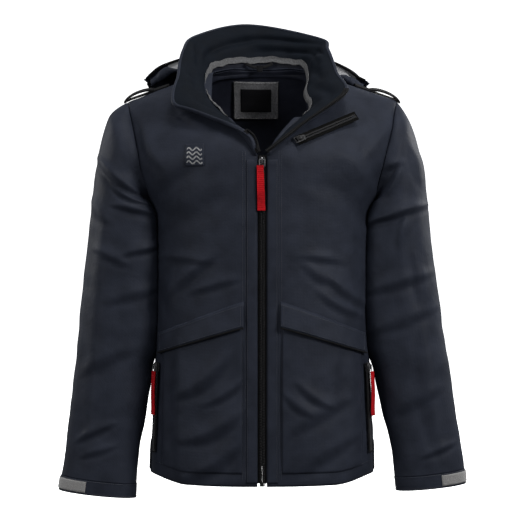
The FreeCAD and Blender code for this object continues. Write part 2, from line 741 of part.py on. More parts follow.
def webbing(prefix, place):
    """Webbing folded over the ring's lower bar, its two layers stitched together below."""
    wire = size("ring_wire") / 2
    bar = pull_pivot() - Vector(0, 0, size("ring_long") - 2 * wire)
    deep = size("webbing_deep") / 2
    foot = bar.z - size("webbing_long")
    body = doc.addObject("PartDesign::Body", f"{prefix}_webbing")
    neck = sketch_on(body, f"{prefix}_webbing_neck", "YZ_Plane")
    add_outline(neck, [(bar.y - deep, foot), (bar.y + deep, foot), (bar.y + deep, bar.z + 1),
                       (bar.y + 0.5 * deep, bar.z + deep + 0.2), (bar.y - 0.5 * deep, bar.z + deep + 0.2),
                       (bar.y - deep, bar.z + 1)])
    inside_ring = "sizes.ring_wide - 2 * sizes.ring_wire - 0.6"
    grow_both_ways(body, "Pad", f"{prefix}_webbing_fold", neck, inside_ring)
    lower = sketch_on(body, f"{prefix}_webbing_outline", "YZ_Plane")
    add_outline(lower, [(bar.y - deep, foot), (bar.y + deep, foot), (bar.y + deep, bar.z - 2),
                        (bar.y - deep, bar.z - 2)])
    grow_both_ways(body, "Pad", f"{prefix}_webbing_lower", lower, "sizes.webbing_wide")
    doc.recompute()
    eye = sketch_on(body, f"{prefix}_webbing_eye", "YZ_Plane")
    eye.addGeometry(Part.Circle(Vector(bar.y, bar.z, 0), Vector(0, 0, 1), wire + 0.1), False)
    grow_both_ways(body, "Pocket", f"{prefix}_webbing_hole", eye, "sizes.webbing_wide")
    doc.recompute()
    body.Placement = place
    return body


def frame_at(origin, down, outward):
    """A placement whose local -Z runs along down and whose local -Y faces outward."""
    z_axis = (down * -1).normalize()
    y_axis = outward * -1
    y_axis = (y_axis - z_axis * y_axis.dot(z_axis)).normalize()
    return Placement(origin, Rotation(y_axis.cross(z_axis), y_axis, z_axis, "ZYX"))


def short_zip(name, place, long, has_webbing):
    """A whole pocket zip: its tape, its teeth, slider, ring and, on the side zips, webbing.
    Returns its pieces by what they are."""
    near = size("tooth_gap")
    far = near + size("tooth_wide")
    made = {}
    for piece, start, stop, deep, extra in (
        ("tape", far + 0.3, far + size("tape_wide") * 0.9, size("tape_deep"), 2.5),
        ("teeth", near, far, size("tooth_deep"), 0),
    ):
        length = long + extra
        wide = stop - start
        halves = [Part.makeBox(wide, deep, length, Vector(x, -deep / 2, -length)) for x in (start, -stop)]
        link = Part.makeBox(2 * stop, deep, 1.5, Vector(-stop, -deep / 2, -length - 1.5))
        whole = halves[0].multiFuse([halves[1], link]).removeSplitter()
        made[piece] = feature(f"{name}_{piece}_strip", whole)
        made[piece].Placement = place
    middle = place.multiply(Placement(Vector(0, 0, -size("slider_long") / 2 - 1), Rotation()))
    made["slider"] = slider(name, middle)
    made["ring"] = pull_ring(name, middle)
    if has_webbing:
        made["webbing"] = webbing(name, middle)
    return made


def side_zip_place():
    """The upper end of the left side zip, just in front of the side seam."""
    turn, top_z = SIDE_ZIP_TURN, size("side_zip_top")
    foot_z = top_z - size("side_zip_long")
    top, foot = (lifted(body_point, turn, z, SIDE_ZIP_LIFT) for z in (top_z, foot_z))
    middle = -580
    outward = lifted(body_point, turn, middle, 1) - body_point(turn, middle)
    return frame_at(top, foot - top, outward)


def chest_zip_place():
    """The lower end of the chest zip, its chain running up towards the shoulder, and its length."""
    run = CHEST_ZIP_HIGH - CHEST_ZIP_LOW
    return frame_at(CHEST_ZIP_LOW, run, Vector(CHEST_ZIP_FACES)), run.Length


def build_pocket_zips():
    """A zip in front of each side seam and a slanted one high on the left front."""
    pieces = short_zip("side_zip", side_zip_place(), size("side_zip_long"), True)
    for piece, obj in pieces.items():
        pair(f"side_zip_{piece}", obj)
    place, long = chest_zip_place()
    pieces = short_zip("chest_zip", place, long, False)
    turn_over = Placement(Vector(), Rotation(Vector(1, 0, 0), 180), pull_pivot())
    pieces["ring"].Placement = pieces["ring"].Placement.multiply(turn_over)
    for piece, obj in pieces.items():
        keep(obj, f"chest_zip_{piece}")


# ---------------------------------------------------------------- write


def check_and_write():
    doc.recompute()
    for obj in doc.Objects:
        if "Invalid" in obj.State or "Error" in obj.State:
            raise RuntimeError(f"{obj.Name} failed: {obj.State}")
    for obj in kept:
        if obj.Shape.isNull() or not obj.Shape.isValid() or obj.Shape.Volume <= 0:
            raise RuntimeError(f"{obj.Label} has no valid shape")
    os.makedirs("parts", exist_ok=True)
    for obj in kept:
        obj.Shape.exportStep(f"parts/{obj.Label}.step")
    print(len(kept), "pieces")


fill_sheet()
build_body()
build_lining()
build_patches()
build_collar()
build_labels()
build_hood()
build_shoulder_loops()
build_sleeves()
build_main_zip()
build_pocket_zips()
check_and_write()
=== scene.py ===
import json
import math

import bpy
import numpy as np
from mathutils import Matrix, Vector, noise


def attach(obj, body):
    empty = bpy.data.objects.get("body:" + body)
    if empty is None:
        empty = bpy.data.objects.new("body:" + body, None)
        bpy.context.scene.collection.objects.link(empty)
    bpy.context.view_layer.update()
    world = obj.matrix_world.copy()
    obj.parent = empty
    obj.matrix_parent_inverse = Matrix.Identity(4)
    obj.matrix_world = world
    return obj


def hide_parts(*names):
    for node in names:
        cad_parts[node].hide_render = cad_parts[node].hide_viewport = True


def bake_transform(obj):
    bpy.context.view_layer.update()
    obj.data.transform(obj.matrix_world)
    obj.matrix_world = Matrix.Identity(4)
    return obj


# Foul weather jacket. Shapes are worked out in millimetres, as the CAD is, and become metres
# when a mesh is made. +Z up, the front faces -Y, the wearer's left is +X.

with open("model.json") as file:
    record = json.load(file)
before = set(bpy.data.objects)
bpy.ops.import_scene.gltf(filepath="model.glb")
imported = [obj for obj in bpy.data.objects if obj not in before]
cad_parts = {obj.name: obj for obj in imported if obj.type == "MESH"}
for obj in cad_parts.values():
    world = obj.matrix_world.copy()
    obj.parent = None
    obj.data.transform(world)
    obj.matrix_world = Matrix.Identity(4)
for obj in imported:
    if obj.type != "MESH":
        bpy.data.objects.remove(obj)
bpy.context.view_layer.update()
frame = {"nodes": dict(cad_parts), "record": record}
MM = 0.001
JOINTS = {joint["name"]: joint for joint in frame["record"]["behaviour"]["joints"]}
SIDES = ((1, "left"), (-1, "right"))

# How thick each kind of cloth is drawn, in mm, and how far the linings lie inside the shell.
SHELL_THICK = 1.6
LINING_THICK = 0.8
LINING_INSIDE = 4.5
# How far stitches lie above the cloth.
THREAD_LIFT = 0.2


# ---------------------------------------------------------------- splines and small maths


def spline(values, at):
    """Catmull-Rom through the rows of values. at is counted in rows."""
    values = np.asarray(values, float)
    at = np.clip(np.asarray(at, float), 0, len(values) - 1)
    k = np.minimum(at.astype(int), len(values) - 2)
    t = at - k
    if values.ndim > 1:
        t = t[..., None]
    values = np.concatenate([[2 * values[0] - values[1]], values, [2 * values[-1] - values[-2]]])
    a, b, c, d = values[k], values[k + 1], values[k + 2], values[k + 3]
    return 0.5 * (2 * b + (c - a) * t + (2 * a - 5 * b + 4 * c - d) * t**2 + (3 * b - a - 3 * c + d) * t**3)


def smooth(edge0, edge1, value):
    t = np.clip((value - edge0) / (edge1 - edge0), 0, 1)
    return t * t * (3 - 2 * t)


def ripple(points, scale, seed):
    """Smooth noise, about -1 to 1, at an array of points in mm."""
    flat = np.asarray(points, float).reshape(-1, 3) / scale
    out = [noise.noise(Vector((p[0] + seed, p[1] - seed, p[2] + 2 * seed))) for p in flat]
    return np.array(out).reshape(np.asarray(points).shape[:-1])


def unit(vectors):
    return vectors / np.maximum(np.linalg.norm(vectors, axis=-1, keepdims=True), 1e-9)


def arc_lengths(points):
    steps = np.linalg.norm(np.diff(points, axis=0), axis=1)
    return np.concatenate([[0], np.cumsum(steps)])


def columns_at(at, known, rows):
    """The rows (x, y, z) known at some places, interpolated at others."""
    return np.stack([np.interp(at, known, rows[:, i]) for i in range(3)], axis=1)


def resample(points, count):
    """A polyline as count evenly spaced points."""
    along = arc_lengths(points)
    return columns_at(np.linspace(0, along[-1], count), along, points)


# ---------------------------------------------------------------- meshes


def make_mesh(name, verts, faces, uvs=None, material=None, sharp=False):
    """A mesh object from points in mm. uvs holds one (u, v) in metres for each vertex."""
    mesh = bpy.data.meshes.new(name)
    mesh.from_pydata((np.asarray(verts) * MM).tolist(), [], faces)
    if uvs is not None:
        layer = mesh.uv_layers.new(name="cloth")
        loops = np.empty(len(mesh.loops), int)
        mesh.loops.foreach_get("vertex_index", loops)
        layer.data.foreach_set("uv", np.asarray(uvs, float)[loops].ravel())
    if not sharp:
        mesh.polygons.foreach_set("use_smooth", [True] * len(mesh.polygons))
    obj = bpy.data.objects.new(name, mesh)
    bpy.context.scene.collection.objects.link(obj)
    if material:
        mesh.materials.append(material)
    return obj


def grid_normals(grid, closed=False):
    """Normals of a grid of points: columns run across, rows run along."""
    if closed:
        wide = np.concatenate([grid[:, -1:], grid, grid[:, :1]], axis=1)
        across = (wide[:, 2:] - wide[:, :-2]) / 2
    else:
        across = np.gradient(grid, axis=1)
    return unit(np.cross(across, np.gradient(grid, axis=0)))


def cloth(name, grid, thick, material, closed=False, flip=False, rim=0.0):
    """Cloth of an even thickness under a grid of points. flip puts the thickness on the other
    side, and rim lowers the open edges by that much."""
    rows, cols = grid.shape[:2]
    normals = grid_normals(grid, closed) * (-1 if flip else 1)
    top = grid.copy()
    if rim and not closed:
        edge = np.zeros((rows, cols))
        edge[[0, -1]] = 1
        edge[:, [0, -1]] = 1
        top = top - normals * edge[..., None] * rim
    low = top - normals * thick
    verts = np.concatenate([top.reshape(-1, 3), low.reshape(-1, 3)])
    half = rows * cols
    faces = []
    steps = cols if closed else cols - 1

    def quad(a, b, c, d):
        faces.append((a, b, c, d) if not flip else (d, c, b, a))

    for i in range(rows - 1):
        for k in range(steps):
            n = (k + 1) % cols
            a, b, c, d = i * cols + k, i * cols + n, (i + 1) * cols + n, (i + 1) * cols + k
            quad(a, b, c, d)
            quad(d + half, c + half, b + half, a + half)
    for k in range(steps):
        n = (k + 1) % cols
        quad(k + half, n + half, n, k)
        last = (rows - 1) * cols
        quad(last + k, last + n, last + n + half, last + k + half)
    if not closed:
        for i in range(rows - 1):
            a, b = i * cols, (i + 1) * cols
            quad(a, b, b + half, a + half)
            quad(b + cols - 1, a + cols - 1, a + cols - 1 + half, b + cols - 1 + half)
    across, along = np.zeros((rows, cols)), np.zeros((rows, cols))
    across[:, 1:] = np.cumsum(np.linalg.norm(np.diff(grid, axis=1), axis=2), 1)
    along[1:] = np.cumsum(np.linalg.norm(np.diff(grid, axis=0), axis=2), 0)
    uv = np.stack([across, along], axis=2).reshape(-1, 2) * MM
    return make_mesh(name, verts, faces, np.concatenate([uv, uv]), material)


def tube(name, path, radius, material, sides, flat=1.0, up=(0, 0, 1)):
    """A tube or a flat tape along a path in mm. flat squashes it along its own up direction."""
    way = unit(np.gradient(path, axis=0))
    side = unit(np.cross(way, np.broadcast_to(np.asarray(up, float), path.shape)))
    top = np.cross(side, way)
    verts = []
    for k in range(sides):
        a = 2 * math.pi * (k + 0.5) / sides
        verts.append(path + side * radius * math.cos(a) + top * radius * flat * math.sin(a))
    verts = np.stack(verts, axis=1).reshape(-1, 3)
    faces = []
    for i in range(len(path) - 1):
        for k in range(sides):
            n = (k + 1) % sides
            faces.append((i * sides + k, i * sides + n, (i + 1) * sides + n, (i + 1) * sides + k))
    faces.append(tuple(range(sides))[::-1])
    faces.append(tuple((len(path) - 1) * sides + k for k in range(sides)))
    return make_mesh(name, verts, faces, None, material)


# A small block's four square sections: place along it, and shares of its width and height.
BLOCK = ((-1, 0.55, 0.5), (-0.7, 1, 1), (0.7, 1, 1), (1, 0.55, 0.5))


def many(name, centres, ways, tops, shape, material):
    """Copies of one small block with chamfered ends: shape is (long, wide, high) in mm. ways and
    tops are each copy's own directions."""
    long, wide, high = shape
    base = np.array([(x * long / 2, y * wide / 2 * w, z * high / 2 * h) for x, w, h in BLOCK
                     for y, z in ((-1, -1), (1, -1), (1, 1), (-1, 1))])
    quads = [(3, 2, 1, 0), (12, 13, 14, 15)]
    for i in range(3):
        for k in range(4):
            n = (k + 1) % 4
            quads.append((i * 4 + k, i * 4 + n, i * 4 + 4 + n, i * 4 + 4 + k))
    ways = unit(ways)
    sides = unit(np.cross(tops, ways))
    tops = np.cross(ways, sides)
    verts = (centres[:, None] + ways[:, None] * base[None, :, 0:1] + sides[:, None] * base[None, :, 1:2]
             + tops[:, None] * base[None, :, 2:3]).reshape(-1, 3)
    faces = [tuple(16 * i + v for v in quad) for i in range(len(centres)) for quad in quads]
    return make_mesh(name, verts, faces, None, material)


def stitches(name, path, normals, material, pitch=3.4, thread=0.55):
    """A row of stitches along a path that lies on cloth. Each fills part of its pitch and
    stands a little above the cloth."""
    along = arc_lengths(path)
    at = np.arange(pitch / 2, along[-1], pitch)
    top = unit(columns_at(at, along, normals))
    centre = columns_at(at, along, path) + top * thread * 0.1
    way = unit(columns_at(at + 0.6, along, path) - columns_at(at - 0.6, along, path) + 1e-6)
    return many(name, centre, way, top, (pitch * 0.72, thread, thread), material)


def join(name, objects):
    """Several small meshes as one object with all their materials."""
    verts, faces, slots, mats = [], [], [], []
    for obj in objects:
        base = len(verts)
        verts += [v.co[:] for v in obj.data.vertices]
        mat = obj.data.materials[0]
        if mat not in mats:
            mats.append(mat)
        for poly in obj.data.polygons:
            faces.append(tuple(base + v for v in poly.vertices))
            slots.append(mats.index(mat))
    mesh = bpy.data.meshes.new(name)
    mesh.from_pydata(verts, [], faces)
    for mat in mats:
        mesh.materials.append(mat)
    mesh.polygons.foreach_set("material_index", slots)
    mesh.polygons.foreach_set("use_smooth", [len(f) == 4 for f in faces])
    for obj in objects:
        bpy.data.objects.remove(obj)
    joined = bpy.data.objects.new(name, mesh)
    bpy.context.scene.collection.objects.link(joined)
    return joined


# ---------------------------------------------------------------- materials


def set_inputs(node, inputs):
    for key, value in inputs.items():
        node.inputs[key.replace("_", " ")].default_value = value
    return node


def new_material(name, colour, rough, **inputs):
    """A plain material. An input's name has underscores for its spaces."""
    mat = bpy.data.materials.new(name)
    mat.use_nodes = True
    shader = mat.node_tree.nodes["Principled BSDF"]
    set_inputs(shader, {"Base_Color": (*colour, 1), "Roughness": rough, **inputs})
    return mat


class Shading:
    """Adds texture nodes to a material and links them."""

    def __init__(self, mat):
        self.nodes, self.links = mat.node_tree.nodes, mat.node_tree.links
        self.shader = self.nodes["Principled BSDF"]
        self.coords = self.nodes.new("ShaderNodeTexCoord")

    def add(self, kind, vector=None, **inputs):
        """A node. vector names the coordinates that it takes."""
        node = set_inputs(self.nodes.new(f"ShaderNode{kind}"), inputs)
        if vector:
            self.links.new(self.coords.outputs[vector], node.inputs["Vector"])
        return node

    def colours(self, source, low, high, places):
        """The base colour, between two colours as source goes from one place to the other."""
        ramp = self.nodes.new("ShaderNodeValToRGB")
        for element, colour, place in zip(ramp.color_ramp.elements, (low, high), places):
            element.color, element.position = (*colour, 1), place
        self.links.new(source, ramp.inputs["Fac"])
        self.links.new(ramp.outputs["Color"], self.shader.inputs["Base Color"])

    def roughness(self, source, low, high):
        span = self.add("MapRange", To_Min=low, To_Max=high)
        self.links.new(source, span.inputs["Value"])
        self.links.new(span.outputs["Result"], self.shader.inputs["Roughness"])

    def bump(self, source, strength, distance):
        """Bumps on top of any bumps added before."""
        node = self.add("Bump", Strength=strength, Distance=distance)
        self.links.new(source, node.inputs["Height"])
        for link in list(self.shader.inputs["Normal"].links):
            self.links.new(link.from_socket, node.inputs["Normal"])
        self.links.new(node.outputs["Normal"], self.shader.inputs["Normal"])


def woven(name, colour, rough, thread=0.9, depth=0.18, vary=0.2, sheen=0.02, tint=(0.6, 0.7, 1.0), cell=30.0):
    """Woven cloth: fine warp and weft from the mesh's own coordinates, cloudy colour and roughness
    and small soft creases. thread is one thread's width in mm."""
    mat = new_material(name, colour, rough, Sheen_Weight=sheen, Sheen_Roughness=0.45, Sheen_Tint=(*tint, 1),
                       Specular_IOR_Level=0.08)
    cloth_look = Shading(mat)
    clouds = cloth_look.add("TexNoise", "Object", Scale=cell, Detail=5).outputs["Fac"]
    low, high = ([c * share for c in colour] for share in (1 - vary, 1 + vary))
    cloth_look.colours(clouds, low, high, (0.3, 0.7))
    cloth_look.roughness(clouds, rough - 0.06, rough + 0.08)
    weave = cloth_look.add("Math")
    weave.operation = "MULTIPLY"
    for i, direction in enumerate("XY"):
        wave = cloth_look.add("TexWave", "UV", Scale=1000 / thread / 20, Distortion=0.6)
        wave.bands_direction = direction
        cloth_look.links.new(wave.outputs["Fac"], weave.inputs[i])
    cloth_look.bump(weave.outputs[0], depth, 0.0004)
    creases = cloth_look.add("TexNoise", "Object", Scale=55, Detail=3, Distortion=0.4)
    cloth_look.bump(creases.outputs["Fac"], 0.22, 0.004)
    return mat


def fuzzy(name, colour, scale):
    """Hook-and-loop tape: a dense mat of tiny hooks."""
    mat = new_material(name, colour, 0.9, Sheen_Weight=0.5)
    hooks = Shading(mat)
    cells = hooks.add("TexVoronoi", "Object", Scale=scale).outputs["Distance"]
    hooks.colours(cells, [c * 0.45 for c in colour], [c * 1.3 for c in colour], (0, 1))
    hooks.bump(cells, 0.8, 0.0008)
    return mat


def moulded(name, colour, rough, metal=0.0):
    """Moulded plastic or painted metal with worn, slightly uneven gloss."""
    mat = new_material(name, colour, rough, Metallic=metal, Specular_IOR_Level=0.12)
    gloss = Shading(mat)
    grain = gloss.add("TexNoise", Scale=900).outputs["Fac"]
    gloss.roughness(grain, max(0.05, rough - 0.12), rough + 0.12)
    gloss.bump(grain, 0.15, 0.0002)
    return mat


WHITE = (1, 1, 1)
SHELL = woven("navy_shell", (0.0158, 0.0185, 0.0272), 0.56)
# Navy drawn far darker than the shell: painted shade for the inside of the collar.
COLLAR_INSIDE_SHADE = woven("navy_facing_painted_shade", (0.0028, 0.0044, 0.0074), 0.72, sheen=0.01)
HOOD_GREY = woven("hood_lining_grey", (0.3, 0.3, 0.31), 0.85, thread=1.6, depth=0.6, tint=WHITE)
DARK = woven("dark_side", (0.008, 0.009, 0.012), 0.75)
LINING = woven("lining", (0.0125, 0.014, 0.0215), 0.5, thread=1.2)
CHEST_TAPE = woven("chest_tape", (0.002, 0.002, 0.0018), 0.9, thread=1.4, depth=0.4, sheen=0.0, tint=WHITE)
RED = woven("red_webbing", (0.33, 0.0045, 0.008), 0.7, thread=1.6, depth=0.8, vary=0.3, tint=(1, 0.5, 0.5))
BLACK_TAPE = woven("black_tape", (0.006, 0.006, 0.0065), 0.8, thread=1.4, depth=0.6, tint=WHITE)
COARSE = {"depth": 0.8, "vary": 0.3, "tint": WHITE}
GREY_TAPE = woven("grey_tape", (0.082, 0.082, 0.084), 0.85, thread=1.5, cell=400, **COARSE)
LABEL_GREY = woven("label_frame", (0.1, 0.1, 0.105), 0.8, thread=1.3, cell=300, **COARSE)
LABEL_BLACK = woven("label_centre", (0.005, 0.005, 0.006), 0.6, thread=1.0, tint=WHITE)
THREAD = new_material("thread", (0.02, 0.023, 0.034), 0.55)
THREAD_GREY = new_material("thread_grey", (0.3, 0.3, 0.3), 0.6)
RED_THREAD = new_material("thread_red", (0.3, 0.006, 0.012), 0.6)
HOOK = fuzzy("hook_grey", (0.2, 0.195, 0.19), 900)
TEETH = moulded("zip_teeth", (0.008, 0.008, 0.0085), 0.42)
SILVER_TEETH = moulded("side_teeth", (0.09, 0.09, 0.095), 0.4, 0.6)
METAL = moulded("slider_metal", (0.13, 0.13, 0.135), 0.36, 0.75)
DARK_METAL = moulded("dark_metal", (0.03, 0.03, 0.031), 0.45, 0.5)


# ---------------------------------------------------------------- the body's surface

# Level outlines, from the hem up: height, half width, front, back, widest place, roundness.
BODY = np.array([
    (-712, 199, -142, 140, 0, 2.35),
    (-540, 192, -142, 128, 0, 2.4),
    (-400, 186, -142, 123, 0, 2.4),
    (-275, 188, -142, 135, 0, 2.35),
    (-236, 194, -142, 139, 0, 2.3),
    (-190, 222, -142, 140, 2, 2.2),
    (-150, 244, -141, 137, 5, 2.1),
    (-112, 252, -125, 130, 7, 2.0),
    (-80, 254, -101, 123, 8, 1.9),
    (-62, 251, -86, 118, 8, 1.85),
    (-47, 242, -73, 113, 9, 1.8),
    (-35, 212, -62, 109, 10, 1.75),
    (-22, 176, -50, 103, 13, 1.75),
    (-6, 134, -34, 95, 18, 1.8),
    (10, 92, -14, 85, 28, 1.9),
    (24, 52, 22, 74, 46, 2.0),
])
HEM = -712
HEM_DEEP = 24
YOKE = -130
# The neck opening in plan: half width, where it is widest and where it meets the nape.
NECK_HALF, NECK_MID, NECK_NAPE = 86, 4, 73
OPENING_FOOT, OPENING_TOP = -150, -78
ARMHOLE_TOP, ARMHOLE_FOOT = (240, -42), (194.2, -238)
# Half the gap between the fronts below the opening, then how it widens up to the neck.
FRONT_GAP = 7.8
FRONT_EDGE = ((OPENING_FOOT, -127, -105, -85, -66, -50), (FRONT_GAP, 19, 35, 52, 70, NECK_HALF + 2))


def outline(z):
    """The five numbers of the body's level outline at heights z, smoothly between the rows."""
    fine = np.linspace(0, len(BODY) - 1, 1201)
    heights = spline(BODY[:, 0], fine)
    level = np.interp(z, heights, fine)
    return [spline(BODY[:, i], level) for i in range(1, 6)]


def body_base(turn, z):
    """Points of the body without folds. turn is 0 at centre front and 90 at the wearer's left."""
    half, front, back, middle, power = outline(z)
    across, along = np.sin(np.radians(turn)), -np.cos(np.radians(turn))
    x = half * np.sign(across) * np.abs(across) ** (2 / power)
    reach = np.where(along > 0, back - middle, middle - front)
    y = middle + np.sign(along) * reach * np.abs(along) ** (2 / power)
    return np.stack(np.broadcast_arrays(x, y, z), axis=-1).astype(float)


def body_normal(turn, z):
    step = 0.5
    around = body_base(turn + step, z) - body_base(turn - step, z)
    up = body_base(turn, z + step) - body_base(turn, z - step)
    return unit(np.cross(around, up))


def turn_of(x, z):
    """The front turn at which the body is x from the centre."""
    half, _, _, _, power = outline(z)
    return np.sign(x) * np.degrees(np.arcsin(np.clip(np.abs(x) / half, 0, 1) ** (power / 2)))


def stroke(x, z, start, end, width, height, bend=0.0):
    """A crease in the front view from start to end: a ridge with a sharper valley below it. It
    fades out a little beyond its ends."""
    (x0, z0), (x1, z1) = start, end
    length = math.hypot(x1 - x0, z1 - z0)
    ux, uz = (x1 - x0) / length, (z1 - z0) / length
    along = ((x - x0) * ux + (z - z0) * uz) / length
    off = -(x - x0) * uz + (z - z0) * ux - bend * 4 * along * (1 - along)
    fade = np.cos(np.clip((along - 0.5) / 1.3, -0.5, 0.5) * np.pi) ** 1.1
    wide = width * (0.45 + 0.6 * fade)
    ridge = np.exp(-(np.abs(off / wide) ** 1.6))
    valley = np.exp(-(((off + 1.25 * wide) / (0.65 * wide)) ** 2))
    return height * fade * (ridge - 0.7 * valley)


# Creases on the front: start, end, width, height, bend, all in mm in the front view.
FRONT_CREASES = [
    ((-180, -322), (-84, -331), 8, 3.4, 3), ((-158, -386), (-84, -320), 11, 4.6, 5),
    ((-120, -382), (-40, -360), 8, 3.8, 3), ((-152, -345), (-156, -430), 11, 2.8, 0),
    ((-144, -560), (-62, -494), 14, 5.2, -5), ((-96, -572), (-34, -530), 9, 4.0, -3),
    ((-134, -636), (-40, -586), 14, 4.8, -6), ((-134, -700), (-42, -640), 14, 4.0, -5),
    ((-140, -470), (-138, -700), 15, 3.6, 0), ((-146, -68), (-94, -99), 8, 4.0, -3),
    ((-166, -82), (-104, -104), 8, 3.0, 3), ((-190, -206), (-80, -128), 18, 2.8, 8),
    ((-184, -262), (-66, -196), 26, 2.6, 6), ((-206, -96), (-170, -170), 12, 3.0, -5),
    ((64, -321), (142, -331), 8, 3.4, 3), ((98, -384), (172, -424), 8, 4.6, -3),
    ((112, -354), (178, -404), 9, 4.4, -3), ((70, -334), (126, -368), 9, 3.0, -3),
    ((60, -536), (120, -578), 9, 3.8, -3), ((38, -552), (86, -592), 8, 3.2, -3),
    ((46, -618), (142, -564), 16, 3.4, 6), ((56, -688), (152, -632), 16, 3.4, 6),
    ((152, -478), (157, -690), 15, 2.8, 0), ((196, -214), (120, -140), 18, 2.8, -8),
    ((186, -286), (66, -214), 24, 2.4, -6), ((232, -90), (180, -150), 13, 3.0, -5),
]
# The same on the back, guessed from how such a jacket hangs.
BACK_CREASES = [
    ((-200, -196), (-60, -268), 22, 4.0, 8), ((200, -204), (70, -280), 22, 4.0, -8),
    ((-180, -300), (-40, -360), 24, 4.4, 8), ((182, -310), (30, -376), 24, 4.2, -8),
    ((-176, -420), (60, -450), 22, 4.0, -10), ((178, -470), (-30, -510), 24, 4.0, 8),
    ((-150, -560), (-20, -640), 26, 3.4, 6), ((160, -580), (40, -668), 26, 3.6, -6),
    ((-40, -170), (-70, -420), 30, 3.2, 6), ((60, -190), (80, -430), 30, 3.0, -6),
]


def folds(points, turn):
    """How far the cloth stands off the plain body at its points."""
    x, z = points[..., 0], points[..., 2]
    front = smooth(0.05, 0.35, np.cos(np.radians(turn)))
    back = smooth(0.05, 0.35, -np.cos(np.radians(turn)))
    lift = sum(stroke(x, z, *crease) for crease in FRONT_CREASES) * front
    lift = lift + sum(stroke(x, z, *crease) for crease in BACK_CREASES) * back
    calm = smooth(10, 34, np.abs(x)) * front + (1 - front)
    lift = 1.15 * lift * (0.15 + 0.85 * calm)
    lift = lift + (1.9 * ripple(points, 95, 3.1) + 1.1 * ripple(points, 38, 7.7)) * (0.25 + 0.75 * calm)
    return lift


def skin(turn, z, lift=0.0):
    """Points of the cloth at (turn, z), raised by lift."""
    turn, z = np.broadcast_arrays(np.asarray(turn, float), np.asarray(z, float))
    base = body_base(turn, z)
    return base + body_normal(turn, z) * (folds(base, turn) + lift)[..., None]


def front_skin(x, z, lift=0.0):
    """Points of the front's cloth at front-view places (x, z)."""
    x, z = np.broadcast_arrays(np.asarray(x, float), np.asarray(z, float))
    return skin(turn_of(x, z), z, lift)


def front_normal(x, z):
    return body_normal(turn_of(np.asarray(x, float), np.asarray(z, float)), np.asarray(z, float))


def armhole_x(z):
    (top_x, top_z), (foot_x, foot_z) = ARMHOLE_TOP, ARMHOLE_FOOT
    return foot_x + (z - foot_z) * (top_x - foot_x) / (top_z - foot_z)


def inside_neck(point):
    x, y = point[0], point[1]
    if y <= NECK_MID:
        return abs(x) < NECK_HALF
    return (x / NECK_HALF) ** 2 + ((y - NECK_MID) / (NECK_NAPE - NECK_MID)) ** 2 < 1


def first_outside(z, low, high):
    """Bisects the turn at which the body leaves the neck opening, between low and high."""
    if not inside_neck(body_base(low, z)):
        return low
    for _ in range(24):
        middle = (low + high) / 2
        if inside_neck(body_base(middle, z)):
            low = middle
        else:
            high = middle
    return high


def panel_heights(low, high, step=5.0):
    """Heights spaced so that the panel's rows are evenly spaced over the shoulder's slope."""
    fine = np.linspace(low, high, 1500)
    side = outline(fine)
    path = np.stack([side[0], (side[2] - side[1]) / 2, fine], axis=1)
    along = arc_lengths(path)
    return np.interp(np.linspace(0, along[-1], max(2, int(along[-1] / step))), along, fine)


def front_limits(z):
    first = float(turn_of(np.interp(z, *FRONT_EDGE), z))
    if z > OPENING_TOP:
        first = max(first, first_outside(z, first, 89.9))
    last = 90.0
    if ARMHOLE_FOOT[1] <= z < ARMHOLE_TOP[1]:
        last = min(last, float(turn_of(armhole_x(z), z)))
    return first, last


def back_limits(z):
    first = 90.0
    if ARMHOLE_FOOT[1] <= z < ARMHOLE_TOP[1]:
        first = max(first, 180 - float(turn_of(armhole_x(z), z)))
    first = max(first, first_outside(z, first, 180.0))
    return first, 360 - first


def seam_dip(shape, margin_rows, margin_cols, depth=1.3):
    """Cloth drawn in beside its seams, as a grid of depths."""
    rows, cols = shape
    r = np.minimum(np.arange(rows), np.arange(rows)[::-1])[:, None] / margin_rows
    c = np.minimum(np.arange(cols), np.arange(cols)[::-1])[None, :] / margin_cols
    return -depth * np.maximum(np.exp(-(r**2) * 2), np.exp(-(c**2) * 2))


def turn_grid(heights, limits, columns):
    limits = np.array([limits(z) for z in heights])
    share = np.linspace(0, 1, columns)[None, :]
    return limits[:, :1] + (limits[:, 1:] - limits[:, :1]) * share, np.repeat(heights[:, None], columns, 1)


def hem_rise(points):
    """The hem curves up a little towards the side seams."""
    points = points.copy()
    x = np.abs(points[..., 0])
    lift = 12 * smooth(125, 198, x) * smooth(-560, -712, points[..., 2])
    points[..., 2] += lift
    return points


def piece(obj, body, *nodes, slot):
    """Sets the body that a piece rides on, if one is given, and hides the CAD nodes it replaces."""
    if body:
        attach(obj, body)
    if nodes:
        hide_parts(*nodes)
    return obj


def sewn(name, grid, thick, material, body, *nodes, closed=False, flip=False, rim=0.0, slot="navy_shell"):
    """A piece made from a flat sheet. Its cut is never quite a full rectangle."""
    obj = cloth(name, grid, thick, material, closed, flip, rim)
    return piece(obj, body, *nodes, slot=slot)


def front_seam(x, z):
    """A row of stitches on the front through front-view places."""
    return stitches("row", hem_rise(front_skin(x, z, THREAD_LIFT)), front_normal(x, z), THREAD)


# ---------------------------------------------------------------- shell panels


